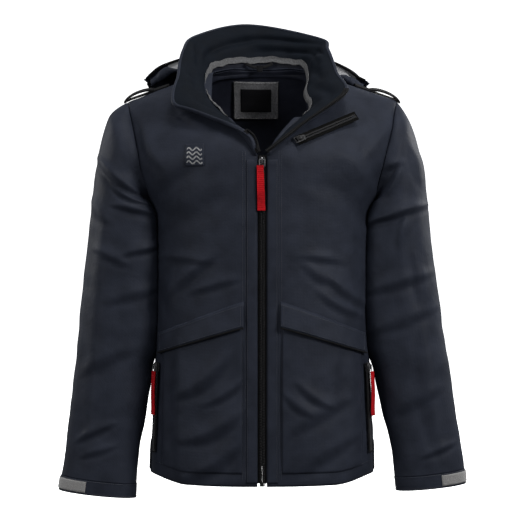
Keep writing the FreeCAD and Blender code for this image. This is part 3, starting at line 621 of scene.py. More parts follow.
def build_panels():
    threads = []
    for side, word in SIDES:
        heights = panel_heights(HEM, 9)
        turns, z = turn_grid(heights, front_limits, 56)
        grid = hem_rise(skin(side * turns, z, seam_dip(turns.shape, 1.4, 1.0)))
        sewn(f"{word}_front", grid, SHELL_THICK, SHELL, "shell", f"{word}_front_panel",
             flip=side < 0)
        for inset in (28.5, 33):
            threads.append(front_seam(side * inset, np.linspace(HEM + 12, OPENING_FOOT + 6, 260)))
        xs = np.linspace(FRONT_GAP + 2, 188, 120)
        threads.append(front_seam(side * xs, HEM + HEM_DEEP + 0 * xs))
    for name, low, high, node in (
        ("back_lower", HEM, YOKE - 0.5, "back_panel"),
        ("back_upper", YOKE + 0.5, 22, "back_yoke"),
    ):
        turns, z = turn_grid(panel_heights(low, high), back_limits, 96)
        grid = hem_rise(skin(turns, z, seam_dip(turns.shape, 1.4, 1.0)))
        sewn(name, grid, SHELL_THICK, SHELL, "shell", node)
    turn = np.linspace(91, 269, 240)
    for height in (HEM + HEM_DEEP, YOKE + 5, YOKE + 8.5):
        path = hem_rise(skin(turn, height, THREAD_LIFT))
        threads.append(stitches("row", path, body_normal(turn, height + 0 * turn), THREAD))
    piece(join("shell_stitching", threads), "shell", slot="navy_shell")


def lining_limits(z):
    """The lining's turns at a height: it starts behind the front's facing."""
    first, last = front_limits(z)
    return min(first + 5, last - 1), last


def build_lining():
    foot = HEM + 14
    turns, z = turn_grid(panel_heights(foot, 4, 12), lining_limits, 24)
    for side, word in SIDES:
        grid = hem_rise(skin(side * turns, z, -LINING_INSIDE))
        sewn(f"{word}_lining", grid, LINING_THICK, LINING, "shell", f"{word}_front_lining",
             flip=side < 0, slot="lining")
    turns, z = turn_grid(panel_heights(foot, 20, 10), back_limits, 60)
    grid = hem_rise(skin(turns, z, -LINING_INSIDE))
    sewn("back_lining_cloth", grid, LINING_THICK, LINING, "shell", "back_lining", slot="lining")


# ---------------------------------------------------------------- sleeves

# Rings of the left sleeve: middle x, y, z, dip below level in degrees, half width, half depth.
SLEEVE = np.array([
    (217.5, 3, -140, 13.9, 97.5, 74),
    (230.5, 2, -154, 22, 84, 75),
    (240.5, 1, -192.5, 40, 69, 74),
    (243.8, -1, -233.5, 61, 58.6, 73),
    (247.6, -4, -285, 80, 56.6, 70),
    (256.4, -10, -400, 85, 65, 61),
    (267.5, -18, -529, 81, 66.8, 52),
    (287, -30, -657, 82, 63, 43),
    (295, -38, -738, 84, 64, 36),
])
CUFF_TOP = 7.65
# How far each arm hangs from the even position, from the shoulder to the wrist.
ARM_SHIFT = {1: ((0, -2, -5, -8, -9, -11, -2.8, 1, 1.5), (0, 0, 0, 2, 2, 2, 3, 8, 12)),
             -1: ((0, -5, 1.5, 6, 5.5, 6, 4.5, 6.5, 6), (0, 0, 0, 0, 0, 0, 0, -2, 0))}
# How much wider than the even half width each arm is.
ARM_EXTRA = {1: (0, 0, 2, 4, 4, 2.5, -0.8, -2, -2.5), -1: (0, 7, 8.5, 12, 9.5, 5, 2.5, 1.5, 4)}
# Each sleeve's creases in the front view, given as the front's are.
ARM_CREASES = {
    -1: [((-290, -148), (-196, -216), 10, 6.6, -7), ((-264, -194), (-202, -229), 7, 5.0, -4),
         ((-216, -170), (-194, -206), 6, 3.4, 2), ((-256, -232), (-196, -248), 9, 5.4, 4),
         ((-240, -318), (-192, -302), 8, 4.4, 2), ((-290, -308), (-234, -336), 10, 4.0, 3),
         ((-272, -250), (-300, -640), 22, 4.4, 4), ((-264, -398), (-196, -376), 12, 3.2, 3),
         ((-322, -642), (-260, -612), 8, 4.8, 3), ((-312, -668), (-254, -650), 8, 3.0, 2),
         ((-312, -520), (-228, -478), 16, 3.2, 5), ((-300, -220), (-262, -262), 12, 3.4, -4)],
    1: [((194, -172), (246, -158), 8, 4.4, 3), ((242, -162), (208, -224), 8, 5.2, 4),
        ((188, -266), (286, -232), 9, 6.4, 5), ((252, -248), (238, -314), 8, 3.6, -3),
        ((268, -320), (279, -404), 11, 4.0, 3), ((194, -382), (292, -350), 12, 3.4, 4),
        ((204, -450), (302, -410), 14, 3.0, 5), ((284, -460), (312, -655), 20, 4.4, -4),
        ((280, -668), (334, -646), 8, 3.4, 2), ((232, -590), (306, -548), 16, 2.8, 4),
        ((262, -130), (282, -200), 12, 3.4, 4)],
}
# Nearer the body than this place, counted in rings, a sleeve runs into its armhole.
ARM_FREE = 1.1
RING_POINTS = 96
LINING_POINTS = RING_POINTS // 2


def ring_turns(count):
    return np.arange(count) * 360.0 / count


def armhole_loop(side):
    """The edge that the body's panels leave at the armhole, from the top round the front."""
    zs = np.linspace(ARMHOLE_TOP[1] - 4.5, ARMHOLE_FOOT[1], 60)
    turns = turn_of(armhole_x(zs), zs)
    front = skin(side * turns, zs)
    back = skin(side * (180 - turns), zs)[::-1]
    loop = resample(np.concatenate([front, back, front[:1]]), 6 * RING_POINTS)
    middle = loop.mean(0)
    high, deep = np.ptp(loop[:, 2]) / 2, np.ptp(loop[:, 1]) / 2
    angle = np.degrees(np.arctan2(-(loop[:, 1] - middle[1]) / deep, (loop[:, 2] - middle[2]) / high)) % 360
    order = np.argsort(angle)
    turns = ring_turns(RING_POINTS)
    return np.stack([np.interp(turns, angle[order], loop[order, i], period=360) for i in range(3)], axis=1)


def sleeve_skin(side, turns, places, lift=0.0):
    """Points of a sleeve. turn 0 is its top or outer side, 90 its front; place counts rings."""
    x, y, z, dip, half, depth = (spline(SLEEVE[:, i], places) for i in range(6))
    shift_x, shift_z = (spline(row, places) for row in ARM_SHIFT[side])
    half = half + spline(ARM_EXTRA[side], places)
    dip = np.radians(dip)
    sway = np.cos(np.radians(turns))
    px = x + np.sin(dip) * half * sway + side * shift_x
    pz = z + np.cos(dip) * half * sway + shift_z
    py = y - depth * np.sin(np.radians(turns))
    points = np.stack(np.broadcast_arrays(side * px, py, pz), axis=-1).astype(float)
    sway = sway / half
    normal = (side * np.sin(dip) * sway, -np.sin(np.radians(turns)) / depth, np.cos(dip) * sway)
    normal = unit(np.stack(np.broadcast_arrays(*normal), axis=-1))
    front = smooth(-0.1, 0.3, np.sin(np.radians(turns)))
    crease = sum(stroke(points[..., 0], points[..., 2], *c) for c in ARM_CREASES[side]) * front
    mirror = sum(stroke(points[..., 0] + 14 * side, points[..., 2] - 26, *c) for c in ARM_CREASES[side])
    crease = crease + mirror * smooth(-0.1, 0.3, -np.sin(np.radians(turns))) * 0.9
    crease = 1.2 * crease + 2.3 * ripple(points, 80, 5.5 + side) + 1.3 * ripple(points, 32, 2.2)
    crease = crease * smooth(0.0, 0.8, places) * smooth(8.1, 7.3, places)
    return points + normal * (crease + lift)[..., None]


def touch_side(grid, turns):
    """Brings the inner side of a sleeve up to the body's side, where the two hang together."""
    x, z = grid[..., 0], grid[..., 2]
    overlap, reach = 4, 10
    gap = np.abs(x) - (outline(z)[0] - overlap)
    inner = smooth(0.1, 0.6, -np.cos(np.radians(turns))) * smooth(-214, -230, z) * smooth(-520, -480, z)
    grid[..., 0] -= np.sign(x) * np.clip(gap, 0, reach) * inner


def sleeve_grid(side, places, count, lift, loop):
    """A sleeve's rings at some places, run into the armhole's loop at the shoulder."""
    turns = np.repeat(ring_turns(count)[None], len(places), 0)
    grid = sleeve_skin(side, turns, np.repeat(places[:, None], count, 1), lift)
    share = (1 - smooth(0.0, ARM_FREE, places))[:, None, None]
    return grid * (1 - share) + loop[None] * share, turns


def blend_arm(obj):
    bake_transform(obj)


def build_sleeves():
    for side, word in SIDES:
        body = f"{word}_sleeve"
        loop = armhole_loop(side)
        places = np.concatenate([np.linspace(0, 4, 60), np.linspace(4, CUFF_TOP, 110)[1:]])
        grid, turns = sleeve_grid(side, places, RING_POINTS, 0, loop)
        touch_side(grid, turns)
        obj = sewn(f"{word}_sleeve_shell", grid, SHELL_THICK, SHELL, None, f"{word}_sleeve",
                   closed=True, flip=side < 0)
        blend_arm(obj)
        inner = loop[::2] + unit(loop.mean(0) - loop[::2]) * 5
        grid, _ = sleeve_grid(side, np.linspace(0.05, CUFF_TOP - 0.05, 70), LINING_POINTS, -5, inner)
        obj = sewn(f"{word}_arm_lining", grid, LINING_THICK, LINING, None, f"{word}_sleeve_lining",
                   closed=True, flip=side < 0, slot="lining")
        blend_arm(obj)
        build_cuff(side, word, body)


def build_cuff(side, word, body):
    places = np.linspace(CUFF_TOP + 0.005, 7.99, 12)
    turns = np.repeat(ring_turns(RING_POINTS)[None], 12, 0)
    grid = sleeve_skin(side, turns, np.repeat(places[:, None], RING_POINTS, 1), 0.6)
    sewn(f"{word}_cuff_band", grid, 2.6, SHELL, body, f"{word}_cuff", closed=True, flip=side < 0)
    around = np.linspace(0, 360, 200)
    threads = []
    for place in (CUFF_TOP + 0.02, 7.96):
        path = sleeve_skin(side, around, np.full(200, place), 0.8)
        threads.append(stitches("row", path, unit(path - path.mean(0)), THREAD))
    piece(join(f"{word}_cuff_stitching", threads), body, slot="navy_shell")
    turns, places = np.meshgrid(np.linspace(-12, 74, 36), np.linspace(7.69, 7.94, 8))
    grid = sleeve_skin(side, turns, places, 2.6)
    sewn(f"{word}_tab_strip", grid, 1.6, HOOK, f"{word}_tab", f"{word}_cuff_tab",
         flip=side < 0, rim=0.3, slot="hook_grey")
    turns, places = np.meshgrid(np.linspace(14, 66, 20), np.linspace(7.71, 7.92, 6))
    grid = sleeve_skin(side, turns, places, 1.0)
    sewn(f"{word}_hook_strip", grid, 0.4, HOOK, body, f"{word}_hook_patch",
         flip=side < 0, slot="hook_grey")


# ---------------------------------------------------------------- collar and neck

# The seam where the collar joins the neck, from the foot of the V on the wearer's right, round the
# nape, to the foot of the V on the left, and the collar's free edge beside it.
NECK_LINE = np.array([
    (-4, -143, -149), (-40, -120, -105), (-76, -90, -66), (-96, -45, -36), (-97, 5, 5), (-74, 52, 28),
    (0, 76, 36), (70, 54, 28), (83, 8, -2), (76, -45, -36), (82, -85, -68), (42, -122, -108), (5, -143, -149),
])
COLLAR_LINE = np.array([
    (-7, -146, -147), (-30, -138, -109), (-144, -97, -56), (-147, -42, -3), (-141, 15, 48), (-120, 62, 80),
    (-26, 98, 105), (104, 64, 76), (118, 18, 50), (131, -38, 2), (143, -92, -40), (70, -126, -96),
    (7, -146, -147),
])
# Places on both lines are counted in rows, and the middle of the neck in plan is in mm.
LINE_END = len(NECK_LINE) - 1
NECK_MIDDLE = (-3.0, 0, 0)
# Dents in the collar's inner face: place along it, share across it, length, width and depth.
COLLAR_DENTS = ((5.3, 0.45, 0.8, 0.10, 5.0), (6.4, 0.62, 0.7, 0.09, 4.6), (6.9, 0.36, 0.9, 0.10, 5.2),
                (7.6, 0.66, 0.5, 0.08, 3.8), (4.4, 0.62, 0.5, 0.12, 3.4), (3.1, 0.5, 0.5, 0.16, 3.2),
                (8.6, 0.45, 0.5, 0.14, 3.4), (2.2, 0.4, 0.5, 0.14, 3.0), (9.6, 0.5, 0.5, 0.16, 3.2))


def neck_out(seam):
    """Level directions out from the middle of the neck."""
    return unit((seam - NECK_MIDDLE) * (1, 1, 0))


def collar_surface(at, share, lift=0.0):
    """Points of the collar's inner face and its normals. at counts along its two lines and share
    goes from the seam to the edge."""
    at, share = np.broadcast_arrays(np.asarray(at, float), np.asarray(share, float))
    seam, edge = spline(NECK_LINE, at), spline(COLLAR_LINE, at)
    edge = edge + np.exp(-(((at - 2.03) / 0.2) ** 2))[..., None] * (-5.0, -5, -6)
    points = seam + (edge - seam) * share[..., None]
    out = neck_out(seam)
    way = unit(edge - seam + 1e-6)
    normal = unit(np.cross(way, unit(spline(NECK_LINE, at + 0.2) - spline(NECK_LINE, at - 0.2))))
    normal = normal * np.sign((normal * ((0, -0.6, 0.8) - 0.5 * out)).sum(-1, keepdims=True))
    wide = np.linalg.norm(edge - seam, axis=-1)
    ease = smooth(0.0, 1.6, np.minimum(at, LINE_END - at))
    arch = np.sin(np.pi * share) * np.minimum(wide * 0.11, 9) * ease
    nape = np.exp(-(((at - 6) / 2.4) ** 2))
    dents = 0 * share
    for middle, place, long, wide_by, deep in COLLAR_DENTS:
        slant = (at - middle) / long
        dents = dents - 1.5 * deep * np.exp(-(slant**2) - ((share - place - 0.14 * slant) / wide_by) ** 2)
    creases = nape * 1.2 * np.sin(share * 9 + 1.9 * np.sin(at * 2.3)) * np.sin(np.pi * share) + dents
    rumple = 3.6 * ripple(points, 40, 9.3) + 1.9 * ripple(points, 19, 1.3)
    creases = creases + np.sin(np.pi * share) * ease * rumple
    return points + normal * (arch + creases + lift)[..., None], normal


# How the outer face goes up behind the inner one, over the edge and a little way down in front:
# share and how far it lies in front of the inner face.
COLLAR_WRAP = (
    (0, -3.4), (0.15, -4.4), (0.3, -5), (0.5, -5), (0.7, -5), (0.85, -4.8), (0.94, -4.4), (0.985, -3.8),
    (1.006, -2.4), (1.014, -0.9), (1.004, 0.5), (0.985, 0.8), (0.965, 0.5),
)


def build_collar():
    at, share = np.meshgrid(np.linspace(0.04, 11.96, 210), np.linspace(0, 0.975, 34), indexing="ij")
    grid, _ = collar_surface(at, share)
    # The collar's inner face wears the darkened navy, a painted shade of the collar's inside.
    sewn("collar_inner_face", grid, 1.0, COLLAR_INSIDE_SHADE, "shell", "collar_facing")
    steps = np.linspace(0, len(COLLAR_WRAP) - 1, 44)
    at, step = np.meshgrid(np.linspace(0.02, 11.98, 210), steps, indexing="ij")
    wrap = spline(COLLAR_WRAP, step)
    outer, _ = collar_surface(at, wrap[..., 0], wrap[..., 1])
    sewn("collar_outer_face", outer, 1.2, SHELL, "shell", "collar_outer", flip=True)
    path, normal = collar_surface(np.linspace(0.7, 11.3, 400), 0.93, 0.3)
    piece(join("collar_stitching", [stitches("row", path, normal, THREAD)]), "shell", slot="navy_shell")


def build_neck():
    at, share = np.meshgrid(np.linspace(0.35, 11.65, 200), np.linspace(0, 1, 8), indexing="ij")
    seam = spline(NECK_LINE, at)
    grid = seam + neck_out(seam) * (share * 4)[..., None] - np.stack([0 * share, 0 * share, share * 30], -1)
    sewn("neck_inner_band", grid, 0.8, LINING, "shell", flip=True, slot="lining")
    # The tape lies over the seam: its upper half on the collar, its lower half inside the body.
    at, share = np.meshgrid(np.linspace(1.55, 10.35, 260), np.linspace(-1, 1, 9), indexing="ij")
    edge, _ = collar_surface(at, np.clip(share, 0, 1) * 0.07, 1.4)
    down = np.clip(-share, 0, 1)[..., None]
    grid = edge - neck_out(spline(NECK_LINE, at)) * down * 2.0 - down * np.array([0, 0, 6.0])
    wave = 1.5 * np.sin(at * 7.3) + 0.9 * np.sin(at * 17.1 + 1)
    grid[..., 2] += 1.2 + wave * 0.8
    sewn("neck_binding_tape", grid, 1.0, GREY_TAPE, "shell", "neck_tape", rim=0.3, slot="grey_tape")
    normals = grid_normals(grid)
    threads = [stitches("row", grid[:, col], normals[:, col], THREAD_GREY) for col in (1, 7)]
    piece(join("neck_tape_stitching", threads), "shell", slot="grey_tape")


def build_hanger_and_labels():
    across = np.linspace(-1, 1, 40)
    drop = 8 * (1 - across**2)
    path = np.stack([-5 + across * 24, 66 - drop * 0.5, 30 - drop], axis=1)
    obj = tube("hanger_cord_loop", path, 3.0, BLACK_TAPE, 10, 0.35, (0, -1, 0.4))
    piece(obj, "shell", "hanger_loop", slot="black_webbing")
    x, z = np.meshgrid(np.linspace(-9, 1, 8), np.linspace(14, 26, 10))
    grid = np.stack([x, 60 + 0 * x + 0.15 * (x + 4) ** 2 / 6, z], -1)
    sewn("small_size_label", grid, 0.4, LABEL_BLACK, "shell", "size_label", flip=True, slot="label")

    def back_place(x, z, lift):
        """Places inside the back of the neck, lift mm forward of the lining."""
        half, _, back, middle, power = outline(z)
        y = middle + (back - middle) * (1 - np.clip(np.abs(x) / half, 0, 1) ** power) ** (1 / power)
        lift = lift + 0.5 * np.sin(x / 13) * np.sin(z / 17)
        return np.stack(np.broadcast_arrays(x, y - 5.5 - lift, z), -1).astype(float)

    def patch(name, inset, lift, material, *nodes):
        x, z = np.meshgrid(np.linspace(-52 + inset, 30 - inset, 30), np.linspace(-68 + inset, -2 - inset, 30))
        grid = back_place(x, z, lift)
        sewn(name, grid, 0.5, material, "shell", *nodes, slot="label")

    patch("neck_label_frame", 0, 4.6, LABEL_GREY, "neck_label")
    patch("neck_label_centre", 13, 5.4, LABEL_BLACK)
    # The stitches go round the patch, 2 mm in from its edges.
    across, down = np.linspace(-50, 28, 60), np.linspace(-4, -66, 50)
    xs = np.concatenate([across, np.full(50, 28), across[::-1], np.full(50, -50)])
    zs = np.concatenate([np.full(60, -4.0), down, np.full(60, -66.0), down[::-1]])
    forward = np.tile((0, -1.0, 0), (len(xs), 1))
    obj = stitches("neck_label_stitching", back_place(xs, zs, 5.1), forward, THREAD_GREY, 3.0, 0.8)
    piece(obj, "shell", slot="label")


# ---------------------------------------------------------------- hood

# The lowered hood on one side: three places (x, y, z) across it at the side, the corner and the back.
HOOD_BASE = np.array([(196, 38, -14), (158, 34, 10), (98, 30, 16), (60, 74, 24), (0, 84, 28)])
HOOD_CREST = np.array([(202, 42, -4), (172, 44, 20), (122, 52, 40), (98, 104, 30), (0, 124, 34)])
HOOD_EDGE = np.array([(204, 50, -18), (196, 74, -34), (182, 108, -58), (110, 138, -92), (0, 146, -104)])


def hood_line(rows, at):
    """A line round the whole hood from the wearer's right to the left: at goes from -4 to 4."""
    at = np.asarray(at, float)
    point = spline(rows, 4 - np.abs(at))
    point = point * np.stack([np.sign(at), np.ones_like(at), np.ones_like(at)], -1)
    low_side = smooth(1.6, 3.6, at)
    point[..., 0] -= 14 * low_side
    point[..., 2] -= 8 * smooth(0.8, 1.8, at) * smooth(4.2, 3.2, at)
    return point + smooth(1.8, 3.6, -at)[..., None] * (-4.0, 0, 7.0)


def build_hood():
    at, share = np.meshgrid(np.linspace(-4, 4, 190), np.linspace(0, 1, 24), indexing="ij")
    base, crest, edge = (hood_line(rows, at) for rows in (HOOD_BASE, HOOD_CREST, HOOD_EDGE))
    grid = base + (crest - base) * share[..., None]
    grid[..., 1] += 7 * np.sin(np.pi * share)
    grid[..., 2] += 1.6 * np.sin(at * 9) * np.sin(np.pi * share)
    obj = sewn("hood_inside", grid, 0.9, LINING, "shell", "hood_lining", flip=True, slot="lining")
    obj.data.materials.append(HOOD_GREY)
    # Each side of the hood has a grey panel between the middle and the shoulder.
    for poly in obj.data.polygons:
        if 96 < abs(poly.center.x) / MM < 170:
            poly.material_index = 1
    at, share = np.meshgrid(np.linspace(-4, 4, 220), np.linspace(0, 1, 60), indexing="ij")
    base, crest, edge = (hood_line(rows, at) for rows in (HOOD_BASE, HOOD_CREST, HOOD_EDGE))
    grid = crest + (edge - crest) * share[..., None]
    out = unit(np.stack([crest[..., 0] * 0.55, 0 * at + 70, 0 * at + 34], -1))
    puff = 16 * np.sin(np.pi * np.sqrt(share)) * (0.35 + 0.65 * smooth(4.0, 2.6, np.abs(at)))
    wrinkle = 3.2 * ripple(grid, 48, 4.1) + 1.6 * ripple(grid, 22, 6.2) + 3.0 * np.sin(share * 11 + at * 0.9)
    grid = grid + out * (puff + wrinkle * np.sin(np.pi * share))[..., None]
    sewn("hood_outside", grid, 1.8, SHELL, "shell", "hood_shell", flip=True)
    for side, word in SIDES:
        at, turn = np.meshgrid(np.linspace(2.6, 4.0, 70) * side, np.linspace(-60, 175, 20), indexing="ij")
        base = hood_line(HOOD_BASE, at)
        size = 8.5 * (0.12 + 0.88 * smooth(2.7, 3.4, np.abs(at))) * (1 - 0.45 * smooth(3.4, 4.0, np.abs(at)))
        size = size * (1.15 + 0.1 * np.sin(at * 7) + 0.05 * np.sin(at * 19))
        lean = np.radians(turn)
        grid = base + np.stack([0 * at, -np.cos(lean) * size - 2, np.sin(lean) * size - 3], -1)
        grid = grid + grid_normals(grid) * (1.2 * ripple(grid, 15, 2.9))[..., None]
        sewn(f"hood_{word}_fold", grid, 1.2, SHELL, "shell", flip=side < 0)
    line = np.linspace(-3.95, 3.95, 300)
    path = hood_line(HOOD_CREST, line)
    obj = tube("hood_edge_binding", path, 3.4, BLACK_TAPE, 12, 0.7, (0, 0.3, 1))
    piece(obj, "shell", "hood_trim", slot="dark_shell")


# ---------------------------------------------------------------- pockets, patches and loops


def patch_grid(side, corners, rows, cols, lift, hollow=1.2):
    """A patch on the front. corners gives the low and high x and functions of x for its foot and top."""
    x0, x1, foot, top = corners
    xs = np.linspace(x0, x1, cols)[None, :]
    share = np.linspace(0, 1, rows)[:, None]
    x = np.repeat(xs, rows, 0)
    z = foot(xs) + (top(xs) - foot(xs)) * share
    lifts = lift + seam_dip((rows, cols), 1.5, 1.5, hollow)
    return side * x, z, hem_rise(front_skin(side * x, z, lifts))


def flap_top(x):
    return -398 - 56 * np.clip((x - 30) / 146, 0, None) ** 1.1


def flap_foot(x):
    return -441 - 46 * np.clip((x - 30) / 146, 0, None) ** 1.1


def level(z):
    return lambda x: z + 0 * x


# The lower ends of the zip, the plackets and the side vents, and the pockets' lower edge.
FRONT_FOOT = -706
POCKET_FOOT = -690


def build_pockets():
    for side, word in SIDES:
        corners = (33.5, 172, level(POCKET_FOOT), lambda x: flap_top(x) - 4)
        x, z, grid = patch_grid(side, corners, 70, 40, 2.2)
        sag = smooth(POCKET_FOOT, -620, z) * smooth(-440, -520, z)
        grid[..., 1] -= sag * (2.5 + 1.5 * ripple(grid, 60, 8.8 + side))
        sewn(f"{word}_pocket_cloth", grid, 1.4, SHELL, "shell", f"{word}_pocket_panel",
             flip=side < 0)
        # The flap: sunk in at its sewn top and standing off at its foot.
        rows = 16
        x, z, grid = patch_grid(side, (31, 178, flap_foot, flap_top), rows, 60, 5.4, 0.5)
        share = np.linspace(0, 1, rows)[:, None]
        grid[..., 1] += 4.6 * smooth(0.86, 1.0, share) - 4.4 * (1 - share)
        grid[..., 1] -= 0.9 * np.sin(x / 23 + side) * (1 - share)
        obj = sewn(f"{word}_flap_cloth", grid, 2.4, SHELL, None, f"{word}_pocket_flap",
                   flip=side < 0)
        blend_flap(obj, word)
        normals = grid_normals(grid) * side
        path = grid + normals * THREAD_LIFT
        edges = (np.s_[1], np.s_[-3], np.s_[1:-2, 2], np.s_[1:-2, -3])
        threads = [stitches("row", path[edge], normals[edge], THREAD) for edge in edges]
        # A thin black tube just below and behind the flap's foot is a painted shadow: it stands in for the
        # shade under the flap's lower edge.
        threads.append(tube("flap_painted_shadow", grid[0] + (0, 0.8, -1.5), 1.5, BLACK_TAPE, 6))
        obj = piece(join(f"{word}_flap_stitching_and_painted_shadow", threads), None, slot="navy_shell")
        blend_flap(obj, word)


def blend_flap(obj, word):
    """Bakes the flap's transform into its mesh. The downward direction across the record's hinge is worked
    out but not used.
    """
    down = unit(np.cross(JOINTS[f"{word}_flap_lift"]["axis"], (0, -1, 0)))
    down = down * (1 if down[2] < 0 else -1)
    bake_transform(obj)


def build_plackets_and_vents():
    for side, word in SIDES:
        corners = (9, 27, level(FRONT_FOOT), level(-158))
        _, _, grid = patch_grid(side, corners, 160, 10, 1.6, 0.9)
        sewn(f"{word}_placket_strip", grid, 1.0, SHELL, "shell", f"{word}_placket", flip=side < 0)
        zs = np.linspace(FRONT_FOOT + 2, -160, 240)
        path = hem_rise(front_skin(side * 24.6, zs, 1.9))
        threads = stitches("row", path, front_normal(side * 24.6, zs), THREAD)
        piece(join(f"{word}_placket_stitching", [threads]), "shell", slot="navy_shell")
        turns, zs = np.meshgrid(np.linspace(76, 102, 14), np.linspace(FRONT_FOOT, -655, 20))
        grid = hem_rise(skin(side * turns, zs, 1.0))
        sewn(f"{word}_gusset", grid, 0.8, DARK, "shell", f"{word}_side_vent",
             flip=side < 0, slot="dark_shell")


def build_loops():
    for side, word in SIDES:
        share = np.linspace(0, 1, 40)
        half = 166 + share * 78
        # The shoulder's heights at these half widths, above where the body is widest.
        zs = np.linspace(-80, -6, 900)
        zs = zs[zs > -62]
        high = outline(zs)[0]
        order = np.argsort(high)
        z = np.interp(half, high[order], zs[order])
        middle = outline(z)[3]
        arch = 2.4 + 6.4 * np.sin(np.pi * np.clip(share * 1.5 - 0.5, 0, 1)) ** 0.7
        spine = np.stack([side * half, middle, z + arch], axis=1)
        across = np.linspace(-10, 10, 7)
        grid = spine[:, None] + np.array([0, 1, 0.0]) * across[None, :, None]
        grid[..., 2] -= 0.006 * across[None, :] ** 2 - 0.3 * across[None, :]
        sewn(f"{word}_shoulder_webbing", grid, 2.6, BLACK_TAPE, "shell", f"{word}_shoulder_loop",
             flip=side < 0, rim=0.3, slot="black_webbing")
        under = grid.copy()
        under[..., 2] -= (arch - 1.6)[:, None]
        sewn(f"{word}_shoulder_webbing_base", under, 1.6, BLACK_TAPE, "shell",
             flip=side < 0, rim=0.3, slot="black_webbing")


def build_emblem():
    x, z = np.meshgrid(np.linspace(-130, -98, 20), np.linspace(-168, -131, 22))
    grid = front_skin(x, z, 1.0)
    sewn("chest_patch", grid, 0.7, SHELL, "shell", "chest_emblem", flip=True, slot="emblem")
    threads = []
    for row in range(4):
        xs = np.linspace(-127, -101, 90)
        zs = -139.5 - row * 7.2 + 2.3 * np.sin((xs + 127) / 26 * 4 * math.pi)
        for step in (0, 0.9, 1.8):
            path = front_skin(xs, zs - step, 1.25)
            threads.append(stitches("row", path, front_normal(xs, zs), THREAD_GREY, 2.0, 1.0))
    piece(join("chest_patch_stitching", threads), "shell", slot="emblem")


# ---------------------------------------------------------------- zips


# The main zip's teeth: their spacing and size (long, wide, high), in mm.
TOOTH_PITCH = 2.7
TOOTH = (4.6, 1.5, 2.8)
# How far up the collar's front edges the open halves of the zip show, counted along its lines.
OPEN_ZIP = {1: 2.15, -1: 1.0}


def teeth_along(path, tops, offset):
    """One side's moulded teeth along a path, stepped across it by offset."""
    along = arc_lengths(path)
    at = np.arange(TOOTH_PITCH / 2, along[-1] - TOOTH_PITCH / 2, TOOTH_PITCH)
    centre, top = columns_at(at, along, path), unit(columns_at(at, along, tops))
    way = unit(columns_at(at + 0.5, along, path) - centre + 1e-9)
    across = unit(np.cross(top, way))
    return many("teeth", centre + across * offset, across, top, TOOTH, TEETH)


def open_zip(side):
    """The open half of the zip up the collar's front edge above the slider: points and normals."""
    at = np.linspace(0, 1, 120)[1:] * OPEN_ZIP[side]
    return collar_surface(LINE_END - at if side > 0 else at, 1.0, 1.5)


def build_main_zip():
    zs = np.linspace(FRONT_FOOT, OPENING_FOOT, 300)
    xs, heights = np.meshgrid(np.linspace(0.3, 14.0, 8), zs)
    for side, word in SIDES:
        grid = front_skin(side * xs, heights, -2.2)
        grid[..., 1] += 0.4
        sewn(f"{word}_zip_tape_strip", grid, 0.8, BLACK_TAPE, "shell", f"{word}_zip_tape",
             flip=side < 0, slot="zip_tape")
        # The two sides' teeth alternate, half a pitch apart.
        path = front_skin(side * 2.1, zs, -0.6)
        path[:, 2] += 0.0 if side > 0 else TOOTH_PITCH / 2
        teeth = teeth_along(path, front_normal(side * 2.1 + 0 * zs, zs), 0.0)
        edge, normal = open_zip(side)
        open_teeth = teeth_along(edge + normal * 0.8, normal, 3.6 * -side)
        high_tape = tube("tape", edge, 5.0, BLACK_TAPE, 10, 0.22, (0, -0.5, 0.85))
        obj = join(f"{word}_zip_chain", [teeth, open_teeth, high_tape])
        piece(obj, "shell", f"{word}_zip_teeth", slot="zip_black")


def webbing(name, node, body):
    """A ribbed woven puller in its CAD node's box, a little narrower at its top. The main one
    leans to the wearer's right, and the side ones face out from the body."""
    main = node == "main_zip_webbing"
    corners = np.array([v.co for v in frame["nodes"][node].data.vertices]) * 1000
    centre = corners.mean(0)
    thin, wide, long = np.linalg.eigh(np.cov((corners - centre).T))[1].T
    long = long * (-1 if long[2] > 0 else 1)
    outward = (0, -1, 0) if main else centre * (1, 1, 0)
    thin = thin * (1 if thin @ outward > 0 else -1)
    reach = (corners - centre) @ long
    half = np.abs((corners - centre) @ wide).max() * 0.9
    deep = np.abs((corners - centre) @ thin).max()
    start, length = reach.min(), np.ptp(reach)
    rows, cols = 150, 14
    down, across = np.meshgrid(np.linspace(0, 1, rows), np.linspace(-1, 1, cols), indexing="ij")
    rib = 0.3 * np.cos(down * length / 3.4 * 2 * math.pi)
    curl = 1.4 * np.sin(down * 5.2) * down
    steps = (start + length * down, across * half * (0.84 + 0.16 * down), deep * 0.8 + rib + curl)
    grid = centre + sum(step[..., None] * way for step, way in zip(steps, (long, wide, thin)))
    grid[..., 0] -= (3.5 if main else 0.0) * (1 - 0.65 * down)
    obj = cloth(name, grid, min(2.6, deep * 1.6), RED, rim=0.4)
    obj.data.flip_normals()
    tops = np.tile(thin, (cols, 1))
    threads = [stitches("row", grid[row], tops, RED_THREAD, 2.2, 0.7) for row in (15, 22, rows - 12)]
    band = join(f"{name}_stitching", threads)
    piece(obj, body, node, slot="red_webbing")
    piece(band, body, slot="red_webbing")


def paint(node, material):
    """Gives a CAD node that is seen as it is its material."""
    materials = frame["nodes"][node].data.materials
    materials.clear()
    materials.append(material)


def build_pulls():
    webbing("main_pull_webbing", "main_zip_webbing", "main_pull")
    for node, material in (
        ("zip_bottom_box", DARK_METAL), ("zip_bottom_pin", DARK_METAL), ("main_zip_slider", METAL),
        ("main_zip_ring", METAL), ("chest_zip_slider", DARK_METAL), ("chest_zip_ring", DARK_METAL),
        ("chest_zip_teeth", TEETH), ("chest_zip_tape", CHEST_TAPE),
    ):
        paint(node, material)
    parts = {"slider": METAL, "ring": METAL, "tape": BLACK_TAPE, "teeth": SILVER_TEETH}
    for _, word in SIDES:
        webbing(f"{word}_side_webbing", f"{word}_side_zip_webbing", f"{word}_side_pull")
        for part, material in parts.items():
            paint(f"{word}_side_zip_{part}", material)


